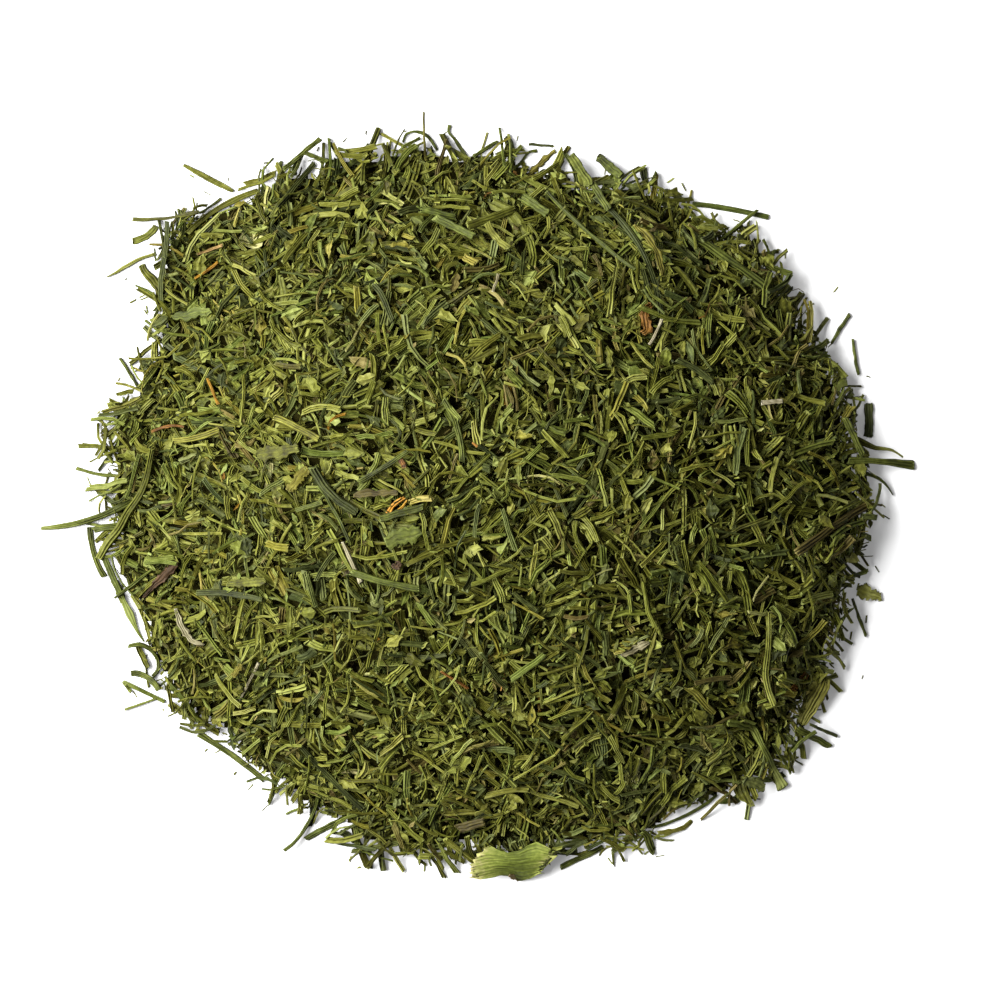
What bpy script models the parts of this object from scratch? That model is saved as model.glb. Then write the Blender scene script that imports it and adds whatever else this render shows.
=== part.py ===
"""A flat heap of dried dill, cut small, with loose stems and scraps that lie on it and around its rim.

Units are metres, +Z is up and the origin is on the floor under the middle of the heap.
The heap is one solid: a mound, covered by flakes that are rooted in it.
Every loose cutting is a solid of its own that rests on the heap or on the floor, a small gap clear of it.
"""

import math
import random
from typing import NamedTuple

import bmesh
import bpy
from mathutils import Vector
from mathutils.bvhtree import BVHTree

MM = 0.001
SEED = 7
CLEARANCE = 0.00035
FULL_TURN = 2 * math.pi
GOLDEN_ANGLE = math.pi * (3 - math.sqrt(5))

# The mound under the flakes
MOUND_RADIUS = 0.0434
MOUND_HEIGHT = 0.0176
MOUND_EDGE = 0.0006
MOUND_FOOT = 0.0006
MOUND_RINGS = 8
MOUND_SECTORS = 32
TOP_BREADTH = 2.3
SLOPE_MEAN = 1.08
SLOPE_SWING = 0.26
STEEP_HEADING = math.radians(-15)
RIPPLE_HEIGHT = 0.0005
RIPPLE_LENGTH = 0.0045
RIM_INSET = 0.9999

# Where the outline swells or draws in: heading in degrees, rise in metres, spread in degrees
OUTLINE_BULGES = (
    (15, 0.0040, 30),
    (80, -0.0036, 20),
    (135, 0.0036, 15),
    (205, 0.0008, 22),
    (248, -0.0012, 15),
    (278, -0.0014, 14),
    (330, 0.0048, 32),
)

# The flakes that cover the mound, larger than life
FLAKE_COUNT = 318
RIM_FLAKE_COUNT = 84
RIM_FLAKE_SWING = math.radians(60)
FLAKE_LENGTH = (0.0052, 0.0084)
FLAKE_WIDTH = (0.0015, 0.0021)
FLAKE_HEIGHT = (0.0011, 0.0016)
FLAKE_SINK = 0.38
FLAKE_TAPER = (0.55, 1.0)
FLAKE_PITCH = math.radians(13)
FLAKE_JITTER = 0.0005
HEADING_TRIES = 6
RIM_SHARE = 0.98
RIM_KEEP_OUT = 0.0010

# Cross-sections of the loose cuttings, as points (across in half widths, up in thicknesses)
STEM = (
    (-0.5, 0),
    (0.5, 0),
    (1, 0.35),
    (0.86, 0.8),
    (0.42, 1),
    (0, 0.78),
    (-0.42, 1),
    (-0.86, 0.8),
    (-1, 0.35),
)
THREAD = ((-0.55, 0), (0.55, 0), (1, 0.5), (0.4, 1), (-0.4, 1), (-1, 0.5))
LEAF = ((-0.6, 0), (0.6, 0), (1, 0.4), (0.5, 1), (0, 0.72), (-0.5, 1), (-1, 0.4))
LEAST_THICKNESS = 0.0006
STEM_FLATNESS = 0.72
LEAF_FLATNESS = 0.5
BEND_PER_STATION = math.radians(24)
LENGTH_PER_STATION = 0.0045
END_REACH = 1.6
WIDTH_SPREAD = 0.06
MOST_SLANT = 0.25
SAMPLE_STEP = 0.00025
MOST_ROLL = 0.6
BRANCH_RAISE = 0.00004
BRANCH_FLATNESS = 0.85
BRANCH_STATIONS = 4

# The torn collar of stalk at the front of the rim
COLLAR_AT = (0.0043, -0.0455)
COLLAR_HEADING = math.radians(8)
COLLAR_LENGTH = 0.0108
COLLAR_END_WIDTH = 0.0041
COLLAR_WAIST_WIDTH = 0.0029
COLLAR_ARCH = 0.0008
COLLAR_THICKNESS = 0.0007
COLLAR_FIBRES = 6
COLLAR_STATIONS = 7
COLLAR_BEND = 14
COLLAR_TEAR = 0.0008
COLLAR_RIDGE = 0.00012

# Colours as linear red, green and blue, with their roughness
FINISHES = {
    "leaf_olive": ((0.078, 0.080, 0.018), 0.75),
    "stem_green": ((0.116, 0.122, 0.030), 0.65),
    "stem_dark": ((0.034, 0.048, 0.022), 0.70),
    "stem_brown": ((0.120, 0.082, 0.034), 0.70),
    "leaf_yellow": ((0.270, 0.262, 0.056), 0.65),
    "stalk_pale": ((0.330, 0.300, 0.105), 0.70),
    "straw_bleached": ((0.500, 0.450, 0.230), 0.75),
    "petal_orange": ((0.420, 0.170, 0.040), 0.70),
}


class Cutting(NamedTuple):
    """A loose cutting: its middle in millimetres, its heading and turn in degrees, its length and width."""

    name: str
    section: tuple
    finish: str
    at: tuple
    heading: float
    length: float
    width: float
    bend: float = 0
    ends: tuple = (1, 1)


class Branch(NamedTuple):
    """A side piece that grows from a cutting: its root along it, its turn off it, its length and width."""

    root: float
    turn: float
    length: float
    width: float
    bend: float = 0


# The loose cuttings from the floor upwards: left rim, top rim, right rim, lower rim, then the heap's top
CUTTINGS = (
    Cutting("stem_left_lower", STEM, "stem_green", (-48.1, -7.0), -74, 6.2, 0.8, 31),
    Cutting("stem_left_long", STEM, "stem_green", (-48.7, -2.9), 17, 11.4, 0.95, 29),
    Cutting("stem_left_sheath", STEM, "stalk_pale", (-43.9, -12.8), -64, 11.0, 0.85, -13),
    Cutting("stem_left_cross", STEM, "stem_green", (-45.4, -3.8), -2, 5.4, 0.8, -37),
    Cutting("stem_left_thick", STEM, "stem_brown", (-43.1, -1.3), 63, 15.1, 1.2, 42),
    Cutting("twig_left_upper", THREAD, "stem_green", (-47.7, 2.9), -10, 5.3, 0.65, 24, (1, 0.7)),
    Cutting("stick_lower_left", THREAD, "stem_green", (-42.1, -10.1), 37, 8.2, 0.65),
    Cutting("withered_leaf_left", LEAF, "stem_brown", (-39.7, -10.3), 44, 6.3, 1.5, -6, (0.4, 0.6)),
    Cutting("curl_left", THREAD, "stem_green", (-40.6, -19.4), -55, 7.0, 0.7, -158, (1, 0.8)),
    Cutting("stub_left_low", STEM, "stem_green", (-41.4, -22.5), -30, 4.1, 0.8, -64),
    Cutting("forked_twig", STEM, "stem_green", (-41.7, -24.4), -27, 5.7, 0.75),
    Cutting("bleached_hook", STEM, "straw_bleached", (-36.5, -17.0), -52, 4.9, 0.9, 82, (0.7, 1)),
    Cutting("stem_rim_lower_left", STEM, "stem_green", (-30.8, -32.3), -35, 9.7, 0.8, -12),
    Cutting("stub_bottom_left", STEM, "stem_green", (-19.2, -41.4), 28, 5.5, 0.8),
    Cutting("stem_bottom_left", THREAD, "stem_green", (-21.6, -41.2), -122, 7.9, 0.65, -43),
    Cutting("stick_left", THREAD, "stem_green", (-43.7, 15.6), -58, 4.1, 0.65),
    Cutting("strip_left_upper", LEAF, "leaf_yellow", (-40.9, 27.2), -54, 3.9, 1.1, 0, (0.6, 0.8)),
    Cutting("leaf_left_upper", THREAD, "stem_green", (-43.6, 29.1), 24, 6.2, 0.7, -18, (0.7, 1)),
    Cutting("arch_top_left", STEM, "leaf_yellow", (-32.3, 36.2), 31, 10.1, 0.8, -29),
    Cutting("leaf_top_left", LEAF, "stem_green", (-33.7, 39.9), -27, 6.9, 1.0, -11, (0.7, 1)),
    Cutting("stick_top_left", STEM, "stem_dark", (-22.8, 38.9), 51, 7.0, 0.8),
    Cutting("twig_top_left", STEM, "stem_green", (-22.0, 42.8), 40, 6.0, 0.75, -8),
    Cutting("curl_top", THREAD, "stem_green", (-6.6, 45.3), -22, 6.7, 0.6, -155),
    Cutting("thread_top_tall", THREAD, "leaf_yellow", (-6.8, 45.0), -88, 5.9, 0.6, 7),
    Cutting("twig_top_hook", THREAD, "stem_green", (-2.7, 44.5), -62, 5.2, 0.65, 75, (0.8, 1)),
    Cutting("stick_top", THREAD, "stem_green", (0.9, 43.5), 34, 3.4, 0.7),
    Cutting("twig_top_bent", THREAD, "stem_green", (6.0, 42.3), -141, 3.9, 0.65, 39),
    Cutting("leaf_top_yellow", LEAF, "leaf_yellow", (7.7, 41.7), -138, 4.6, 0.8, 10, (0.7, 0.5)),
    Cutting("stub_top_right", STEM, "stem_green", (16.6, 41.2), -40, 3.4, 0.9),
    Cutting("stem_top_right", STEM, "stem_green", (31.5, 36.0), -10, 9.4, 0.75, -11, (0.8, 1)),
    Cutting("stick_top_right", THREAD, "stem_green", (32.3, 33.8), 39, 6.4, 0.65),
    Cutting("stick_right_upper", THREAD, "stem_green", (45.2, 21.0), -123, 4.0, 0.7),
    Cutting("stick_right_tall", THREAD, "stem_green", (47.0, 17.5), -81, 4.3, 0.65, 12),
    Cutting("stub_right_wide", LEAF, "stem_dark", (48.7, 9.6), -91, 3.9, 1.1, 0, (1, 1)),
    Cutting("stem_right_far", STEM, "stem_green", (50.2, 4.4), -4, 7.9, 1.0, -9, (0.75, 1.1)),
    Cutting("leaf_right_curved", LEAF, "stem_dark", (50.4, 6.0), -15, 4.6, 0.85, -25, (0.9, 0.4)),
    Cutting("twig_right", THREAD, "stem_green", (50.0, 2.3), -32, 4.9, 0.6, -67),
    Cutting("stem_right_thick", STEM, "stem_dark", (43.8, -3.8), -147, 10.8, 1.1, 5),
    Cutting("scrap_right", LEAF, "stem_dark", (48.8, -11.9), -19, 3.1, 1.5, 0, (0.7, 0.8)),
    Cutting("stick_right_lower", THREAD, "stem_green", (47.5, -15.0), -69, 4.7, 0.65),
    Cutting("split_stalk", STEM, "stem_brown", (42.0, -25.6), -114, 5.4, 1.3, -9),
    Cutting("stem_flared", STEM, "stem_green", (36.1, -31.5), -64, 8.1, 0.95, -11, (0.9, 1.5)),
    Cutting("stem_lower_right", STEM, "stem_green", (41.8, -30.0), -29, 4.7, 0.9),
    Cutting("stick_lower_right", THREAD, "stem_dark", (43.0, -29.1), -24, 3.9, 0.65),
    Cutting("stem_right_long", STEM, "stem_brown", (35.9, -20.4), -89, 10.1, 0.85, 14),
    Cutting("stub_bottom_right", STEM, "stem_green", (21.2, -43.0), -62, 2.7, 0.9),
    Cutting("stick_bottom_right", THREAD, "stem_green", (25.9, -39.8), 26, 9.2, 0.65, 29),
    Cutting("stick_bottom", STEM, "stem_green", (12.9, -45.0), 25, 5.5, 0.75),
    Cutting("stem_long_lower_left", STEM, "stem_dark", (-18.3, -35.1), -46, 10.6, 0.8, 6),
    Cutting("bleached_sliver", THREAD, "straw_bleached", (-28.4, -22.9), -118, 5.2, 0.7, 0, (1, 0.7)),
    Cutting("orange_sliver_upper", THREAD, "petal_orange", (-33.5, 30.8), 17, 3.4, 0.65),
    Cutting("orange_sliver_lower", THREAD, "petal_orange", (-33.9, 28.2), 35, 3.3, 0.65),
    Cutting("rusty_scrap", LEAF, "petal_orange", (20.6, 21.9), -102, 3.6, 1.25, 20, (0.5, 0.8)),
    Cutting("stem_dark_long", STEM, "stem_dark", (20.0, 30.7), -62, 17.1, 0.8, -47),
    Cutting("leaf_yellow", LEAF, "leaf_yellow", (21.7, 30.9), -62, 7.3, 0.95, -50, (0.8, 0.6)),
    Cutting("stem_wide_upper_right", STEM, "stem_green", (31.4, 29.3), -35, 10.2, 1.2, -4),
    Cutting("bleached_leaf", LEAF, "straw_bleached", (18.4, -19.1), 17, 5.2, 1.3, 0, (0.5, 0.6)),
)

# What grows sideways from some of them
BRANCHES = {
    "forked_twig": (Branch(0.62, -170, 4.0, 0.6),),
    "twig_top_left": (Branch(0.55, -62, 3.2, 0.6, 30),),
    "split_stalk": (Branch(0.55, -13, 3.4, 0.85), Branch(0.55, 13, 3.4, 0.85)),
    "stem_flared": (Branch(0.84, -38, 1.9, 0.7, 20), Branch(0.84, 38, 1.9, 0.7, -20)),
}


def clear_scene():
    """Remove every object that the session starts with."""
    for item in list(bpy.data.objects):
        bpy.data.objects.remove(item, do_unlink=True)


def make_finish(name, colour, roughness):
    """Make a plain material of one colour."""
    material = bpy.data.materials.new(name)
    material.use_nodes = True
    shader = material.node_tree.nodes["Principled BSDF"]
    shader.inputs["Base Color"].default_value = (*colour, 1)
    shader.inputs["Roughness"].default_value = roughness
    shader.inputs["Metallic"].default_value = 0
    return material


def make_object(name, vertices, faces, material=None):
    """Put vertices and faces into a new object of the scene."""
    mesh = bpy.data.meshes.new(name)
    mesh.from_pydata(vertices, [], faces)
    mesh.update()
    if material:
        mesh.materials.append(material)
    item = bpy.data.objects.new(name, mesh)
    bpy.context.scene.collection.objects.link(item)
    return item


def apply_boolean(item, operation, operand, group=None):
    """Join an object with others, or cut it by one, and keep the result as its mesh."""
    modifier = item.modifiers.new(operation, "BOOLEAN")
    modifier.operation = operation
    modifier.solver = "MANIFOLD"
    if group:
        modifier.operand_type = "COLLECTION"
        modifier.collection = group
    else:
        modifier.object = operand
    depsgraph = bpy.context.evaluated_depsgraph_get()
    result = bpy.data.meshes.new_from_object(item.evaluated_get(depsgraph), depsgraph=depsgraph)
    item.modifiers.clear()
    item.data = result


def union_all(item, others):
    """Fuse the other objects into the first with one Boolean on a collection, and remove them."""
    group = bpy.data.collections.new(item.name + "_parts")
    bpy.context.scene.collection.children.link(group)
    for other in others:
        bpy.context.scene.collection.objects.unlink(other)
        group.objects.link(other)
    apply_boolean(item, "UNION", None, group)
    for other in others:
        bpy.data.objects.remove(other, do_unlink=True)
    bpy.data.collections.remove(group)


def outline_radius(angle):
    """The mound's reach in one direction: its radius with each bulge added as a bell curve."""
    radius = MOUND_RADIUS
    for heading, rise, spread in OUTLINE_BULGES:
        turn = (math.degrees(angle) - heading + 180) % 360 - 180
        radius += rise * math.exp(-((turn / spread) ** 2))
    return radius


def dome_height(angle, share):
    """The dome's height at a share of its reach: it thins out on one side and drops steeply on the other."""
    slope = SLOPE_MEAN - SLOPE_SWING * math.cos(angle - STEEP_HEADING)
    return MOUND_HEIGHT * max(0, 1 - share**TOP_BREADTH) ** slope


def mound_height(x, y):
    """The height of the mound's surface at a point of the plan, zero outside it."""
    angle = math.atan2(y, x)
    share = math.hypot(x, y) / outline_radius(angle)
    if share >= 1:
        return 0
    ripple = math.sin(x / RIPPLE_LENGTH + 1) * math.sin(y / RIPPLE_LENGTH - x / RIPPLE_LENGTH / 3)
    return MOUND_EDGE + dome_height(angle, share) + RIPPLE_HEIGHT * ripple * (1 - share)


def make_mound(material):
    """The mound as rings of points from the top to the rim, closed by a flat bottom below the floor."""
    summit = mound_height(0, 0)
    vertices = [(0, 0, summit)]
    for ring in range(1, MOUND_RINGS + 1):
        share = math.sin(ring / MOUND_RINGS * math.pi / 2)
        for sector in range(MOUND_SECTORS):
            angle = FULL_TURN * sector / MOUND_SECTORS
            reach = outline_radius(angle) * min(share, RIM_INSET)
            x = reach * math.cos(angle)
            y = reach * math.sin(angle)
            vertices.append((x, y, mound_height(x, y)))
    for sector in range(MOUND_SECTORS):
        x, y, _ = vertices[1 + (MOUND_RINGS - 1) * MOUND_SECTORS + sector]
        vertices.append((x, y, -MOUND_FOOT))
    faces = []
    for sector in range(MOUND_SECTORS):
        following = (sector + 1) % MOUND_SECTORS
        faces.append((0, 1 + sector, 1 + following))
        for ring in range(MOUND_RINGS):
            inner = 1 + ring * MOUND_SECTORS
            outer = inner + MOUND_SECTORS
            faces.append((inner + sector, outer + sector, outer + following, inner + following))
    last = 1 + MOUND_RINGS * MOUND_SECTORS
    faces.append(tuple(range(last + MOUND_SECTORS - 1, last - 1, -1)))
    return make_object("heap", vertices, faces, material)


def make_flake(number, middle, along, up, length, width, height, taper):
    """A three-sided flake with a ridge along its top, narrower at its far end."""
    side = up.cross(along).normalized()
    vertices = []
    for end, scale in ((-0.5, 1), (0.5, taper)):
        centre = middle + along * (length * end)
        vertices.append(centre + side * (width / 2 * scale))
        vertices.append(centre - side * (width / 2 * scale))
        vertices.append(centre + up * (height * scale))
    faces = [(0, 1, 2), (3, 5, 4), (0, 3, 4, 1), (1, 4, 5, 2), (2, 5, 3, 0)]
    return make_object(f"flake_{number}", vertices, faces)


def segment_distance(point, start, finish):
    """The distance in plan from a point to a straight line between two others."""
    span = finish - start
    share = max(0, min(1, (point - start).dot(span) / span.length_squared))
    return (point - start - span * share).length


def arc_points(cutting, count):
    """Points in plan along a cutting's arc, in metres, with the heading at each."""
    length = cutting.length * MM
    bend = math.radians(cutting.bend)
    heading = math.radians(cutting.heading)
    step = length / (count - 1)
    points = [Vector((0, 0))]
    headings = []
    for index in range(count - 1):
        turned = heading + bend * ((index + 0.5) / (count - 1) - 0.5)
        points.append(points[-1] + Vector((math.cos(turned), math.sin(turned))) * step)
    for index in range(count):
        headings.append(heading + bend * (index / (count - 1) - 0.5))
    middle = points[count // 2] if count % 2 else (points[count // 2 - 1] + points[count // 2]) / 2
    shift = Vector(cutting.at) * MM - middle
    return [point + shift for point in points], headings


def loose_lines():
    """The loose cuttings in plan, as straight runs, which the flakes leave free outside the mound."""
    lines = []
    for cutting in CUTTINGS:
        points, _ = arc_points(cutting, 5)
        lines.extend((start, finish) for start, finish in zip(points, points[1:]))
    return lines


def crosses_loose_cutting(start, finish, lines):
    """Whether a flake at the rim would lie where a loose cutting lies."""
    for share in (0, 0.25, 0.5, 0.75, 1):
        point = start.lerp(finish, share)
        reach = outline_radius(math.atan2(point.y, point.x))
        if point.length < reach * RIM_SHARE:
            continue
        for line in lines:
            if segment_distance(point, *line) < RIM_KEEP_OUT:
                return True
    return False


def clearest_heading(rng, spot, length, laid, lines, facing, swing):
    """Of a few random headings, the one whose flake keeps furthest from the flakes laid before."""
    best = None
    best_distance = -1
    near = [line for line in laid if (line[2] - spot).length < FLAKE_LENGTH[1]]
    for _ in range(HEADING_TRIES):
        heading = facing + rng.uniform(-swing, swing)
        half = Vector((math.cos(heading), math.sin(heading))) * (length / 2)
        if crosses_loose_cutting(spot - half, spot + half, lines):
            continue
        distance = 1
        for start, finish, _ in near:
            for share in (-1, -0.5, 0, 0.5, 1):
                distance = min(distance, segment_distance(spot + half * share, start, finish))
        if distance > best_distance:
            best = heading
            best_distance = distance
    return best


def flake_spots():
    """Where the flakes lie: evenly over the mound on a sunflower spiral, then in a row around its rim."""
    for number in range(FLAKE_COUNT):
        angle = number * GOLDEN_ANGLE
        reach = outline_radius(angle) * math.sqrt((number + 0.5) / FLAKE_COUNT)
        yield Vector((reach * math.cos(angle), reach * math.sin(angle))), angle, math.pi / 2
    for number in range(RIM_FLAKE_COUNT):
        angle = FULL_TURN * number / RIM_FLAKE_COUNT
        reach = outline_radius(angle)
        yield Vector((reach * math.cos(angle), reach * math.sin(angle))), angle, RIM_FLAKE_SWING


def make_flakes():
    """The flakes, each lying along the slope below it, tipped a little and sunk into the mound."""
    rng = random.Random(SEED)
    lines = loose_lines()
    flakes = []
    laid = []
    for spot, facing, swing in flake_spots():
        spot += Vector((rng.uniform(-1, 1), rng.uniform(-1, 1))) * FLAKE_JITTER
        length = rng.uniform(*FLAKE_LENGTH)
        width = rng.uniform(*FLAKE_WIDTH)
        height = rng.uniform(*FLAKE_HEIGHT)
        taper = rng.uniform(*FLAKE_TAPER)
        pitch = rng.uniform(-FLAKE_PITCH, FLAKE_PITCH)
        heading = clearest_heading(rng, spot, length, laid, lines, facing, swing)
        if heading is None:
            continue
        half = Vector((math.cos(heading), math.sin(heading))) * (length / 2)
        start = spot - half
        finish = spot + half
        laid.append((start, finish, spot))
        foot = Vector((*start, mound_height(*start)))
        tip = Vector((*finish, mound_height(*finish)))
        along = (tip - foot).normalized()
        if min(foot.z, tip.z) > 0:
            along.z += math.tan(pitch)
            along.normalize()
        up = Vector((0, 0, 1))
        up -= along * up.dot(along)
        up.normalize()
        level = max(mound_height(*spot), (foot.z + tip.z) / 2) - height * FLAKE_SINK
        middle = Vector((*spot, level))
        flakes.append(make_flake(len(flakes), middle, along, up, length, width, height, taper))
    return flakes


def keep_largest_body(item):
    """Remove what the union left unconnected to the heap."""
    shape = bmesh.new()
    shape.from_mesh(item.data)
    unseen = set(shape.faces)
    bodies = []
    while unseen:
        body = set()
        front = [unseen.pop()]
        while front:
            face = front.pop()
            body.add(face)
            for edge in face.edges:
                for other in edge.link_faces:
                    if other in unseen:
                        unseen.remove(other)
                        front.append(other)
        bodies.append(body)
    bodies.sort(key=len)
    scraps = [face for body in bodies[:-1] for face in body]
    bmesh.ops.delete(shape, geom=scraps, context="FACES")
    bmesh.ops.triangulate(shape, faces=shape.faces)
    shape.to_mesh(item.data)
    shape.free()


def make_floor_cutter():
    """A block whose top is the floor, which gives the heap its flat bottom."""
    reach = 2 * MOUND_RADIUS
    depth = -10 * MOUND_FOOT
    corners = ((-reach, -reach), (reach, -reach), (reach, reach), (-reach, reach))
    vertices = [(x, y, depth) for x, y in corners] + [(x, y, 0) for x, y in corners]
    faces = [(3, 2, 1, 0), (4, 5, 6, 7), (0, 1, 5, 4), (1, 2, 6, 5), (2, 3, 7, 6), (3, 0, 4, 7)]
    return make_object("floor_cutter", vertices, faces)


def make_heap(material):
    """The mound with its flakes, fused and cut flat at the floor."""
    heap = make_mound(material)
    union_all(heap, make_flakes())
    cutter = make_floor_cutter()
    apply_boolean(heap, "DIFFERENCE", cutter)
    bpy.data.objects.remove(cutter, do_unlink=True)
    keep_largest_body(heap)
    return heap


def surface_tree(item):
    """A search tree of an object's faces, with its highest point."""
    vertices = [item.matrix_world @ vertex.co for vertex in item.data.vertices]
    faces = [tuple(face.vertices) for face in item.data.polygons]
    lowest = [min(vertex[axis] for vertex in vertices) for axis in range(3)]
    highest = [max(vertex[axis] for vertex in vertices) for axis in range(3)]
    return BVHTree.FromPolygons(vertices, faces), lowest, highest


def support_height(x, y, below):
    """The highest surface under a point of the plan, or the floor."""
    height = 0
    for tree, lowest, highest in below:
        inside_x = lowest[0] <= x <= highest[0]
        inside_y = lowest[1] <= y <= highest[1]
        if not (inside_x and inside_y):
            continue
        hit, _, _, _ = tree.ray_cast(Vector((x, y, 1)), Vector((0, 0, -1)))
        if hit:
            height = max(height, hit.z + CLEARANCE)
    return height


def resting_line(supports):
    """The straight line that rests on two supports, one on each side of the middle, as (height, rise)."""
    supports = sorted(supports)
    hull = []
    for spot in supports:
        while len(hull) > 1:
            (x0, z0), (x1, z1) = hull[-2:]
            if (z1 - z0) * (spot[0] - x0) > (spot[1] - z0) * (x1 - x0):
                break
            hull.pop()
        hull.append(spot)
    for (x0, z0), (x1, z1) in zip(hull, hull[1:]):
        if x1 >= 0:
            rise = (z1 - z0) / (x1 - x0)
            return z0 - rise * x0, rise
    return hull[0][1], 0


def rest_on(points, headings, half_width, below):
    """The height of a cutting's left and right edge at each point, where it lies on what is below it."""
    middle = sum(points, Vector((0, 0))) / len(points)
    chord = (points[-1] - points[0]).normalized()
    reach = half_width + CLEARANCE
    steps = max(1, math.ceil(2 * reach / SAMPLE_STEP))
    samples = []
    for start, finish, heading in zip(points, points[1:], headings):
        side = Vector((-math.sin(heading), math.cos(heading)))
        count = max(2, math.ceil((finish - start).length / SAMPLE_STEP))
        for index in range(count + 1):
            spot = start.lerp(finish, index / count)
            along = (spot - middle).dot(chord)
            for step in range(steps + 1):
                across = reach * (2 * step / steps - 1)
                place = spot + side * across
                samples.append((along, across, support_height(place.x, place.y, below)))
    lines = []
    for sign in (1, -1):
        edge = {}
        for along, across, height in samples:
            if across * sign >= -half_width / 4:
                edge[along] = max(edge.get(along, 0), height)
        lines.append(resting_line(list(edge.items())))
    heights = []
    most = MOST_ROLL * half_width
    for point in points:
        along = (point - middle).dot(chord)
        left, right = (level + rise * along for level, rise in lines)
        centre = max((left + right) / 2, max(left, right) - most)
        swing = max(-most, min(most, (left - right) / 2))
        heights.append((centre, swing))
    lift = 0
    for along, across, height in samples:
        (left, left_rise), (right, right_rise) = lines
        edge_left = left + left_rise * along
        edge_right = right + right_rise * along
        centre = max((edge_left + edge_right) / 2, max(edge_left, edge_right) - most)
        swing = max(-most, min(most, (edge_left - edge_right) / 2))
        share = max(-1, min(1, across / half_width))
        lift = max(lift, height - centre - swing * share)
    return [(centre + lift, swing) for centre, swing in heights]


def swept_solid(name, points, headings, heights, widths, thickness, section, slant, material):
    """A cutting's solid: its section carried along its points, closed by flat or slanting ends."""
    sides = len(section)
    vertices = []
    last = len(points) - 1
    for index, point in enumerate(points):
        heading = headings[index]
        forward = Vector((math.cos(heading), math.sin(heading)))
        side = Vector((-forward.y, forward.x))
        centre, swing = heights[index]
        skew = slant * ((index == last) - (index == 0))
        for across, up in section:
            spot = point + side * (across * widths[index] / 2) + forward * (skew * across)
            vertices.append((spot.x, spot.y, centre + swing * across + up * thickness))
    faces = []
    for index in range(last):
        for corner in range(sides):
            following = (corner + 1) % sides
            near = index * sides
            far = near + sides
            faces.append((near + corner, near + following, far + following, far + corner))
    faces.append(tuple(range(sides)))
    faces.append(tuple(last * sides + corner for corner in reversed(range(sides))))
    item = make_object(name, vertices, faces, material)
    shape = bmesh.new()
    shape.from_mesh(item.data)
    bmesh.ops.triangulate(shape, faces=shape.faces)
    bmesh.ops.recalc_face_normals(shape, faces=shape.faces)
    shape.to_mesh(item.data)
    shape.free()
    return item


def make_cutting(cutting, below, material, rng):
    """A loose cutting with its side branches, resting on what is below it."""
    width = cutting.width * MM
    flatness = LEAF_FLATNESS if cutting.section is LEAF else STEM_FLATNESS
    thickness = max(LEAST_THICKNESS, width * flatness)
    stations = 2 + math.ceil(abs(math.radians(cutting.bend)) / BEND_PER_STATION)
    stations = max(stations, 2 + math.ceil(cutting.length * MM / LENGTH_PER_STATION))
    points, headings = arc_points(cutting, stations)
    widths = []
    for index in range(stations):
        share = index / (stations - 1)
        middle = 1 - abs(2 * share - 1)
        end = cutting.ends[0] if share < 0.5 else cutting.ends[1]
        scale = end + (1 - end) * min(1, END_REACH * middle)
        widths.append(width * scale * rng.uniform(1 - WIDTH_SPREAD, 1 + WIDTH_SPREAD))
    heights = rest_on(points, headings, width / 2, below)
    routes = []
    lift = 0
    for branch in BRANCHES.get(cutting.name, ()):
        route = branch_route(branch, points, headings, heights)
        routes.append((branch, route))
        lift = max(lift, shortfall(*route, branch.width * MM / 2, below))
    heights = [(centre + lift, swing) for centre, swing in heights]
    slant = width * rng.uniform(-MOST_SLANT, MOST_SLANT)
    section = cutting.section
    item = swept_solid(cutting.name, points, headings, heights, widths, thickness, section, slant, material)
    sprouts = []
    for branch, (spots, turns, levels) in routes:
        levels = [(level + lift, 0) for level in levels]
        widths = [branch.width * MM] * len(spots)
        depth = thickness * BRANCH_FLATNESS
        sprouts.append(swept_solid("branch", spots, turns, levels, widths, depth, THREAD, 0, None))
    if sprouts:
        union_all(item, sprouts)
    return item


def branch_route(branch, points, headings, heights):
    """The points, headings and levels of a side branch, whose root lies inside its cutting."""
    place = branch.root * (len(points) - 1)
    index = min(int(place), len(points) - 2)
    share = place - index
    root = points[index].lerp(points[index + 1], share)
    heading = headings[index] + (headings[index + 1] - headings[index]) * share
    start_level = heights[index][0] + (heights[index + 1][0] - heights[index][0]) * share
    rise = (heights[index + 1][0] - heights[index][0]) / (points[index + 1] - points[index]).length
    turned = heading + math.radians(branch.turn)
    middle = root + Vector((math.cos(turned), math.sin(turned))) * (branch.length * MM / 2)
    spec = Cutting("branch", THREAD, "", (middle.x / MM, middle.y / MM), math.degrees(turned),
                   branch.length, branch.width, branch.bend)
    spots, turns = arc_points(spec, BRANCH_STATIONS)
    levels = []
    for spot in spots:
        forward = (spot - root).dot(Vector((math.cos(heading), math.sin(heading))))
        levels.append(max(0, start_level + rise * forward) + BRANCH_RAISE)
    return spots, turns, levels


def shortfall(spots, turns, levels, half_width, below):
    """How far a branch has to rise to clear everything under it."""
    reach = half_width + CLEARANCE
    steps = math.ceil(2 * reach / SAMPLE_STEP)
    most = 0
    for index in range(len(spots) - 1):
        side = Vector((-math.sin(turns[index]), math.cos(turns[index])))
        count = math.ceil((spots[index + 1] - spots[index]).length / SAMPLE_STEP)
        for part in range(count + 1):
            share = part / count
            spot = spots[index].lerp(spots[index + 1], share)
            level = levels[index] + (levels[index + 1] - levels[index]) * share
            for step in range(steps + 1):
                place = spot + side * (reach * (2 * step / steps - 1))
                most = max(most, support_height(place.x, place.y, below) - level)
    return most


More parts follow.
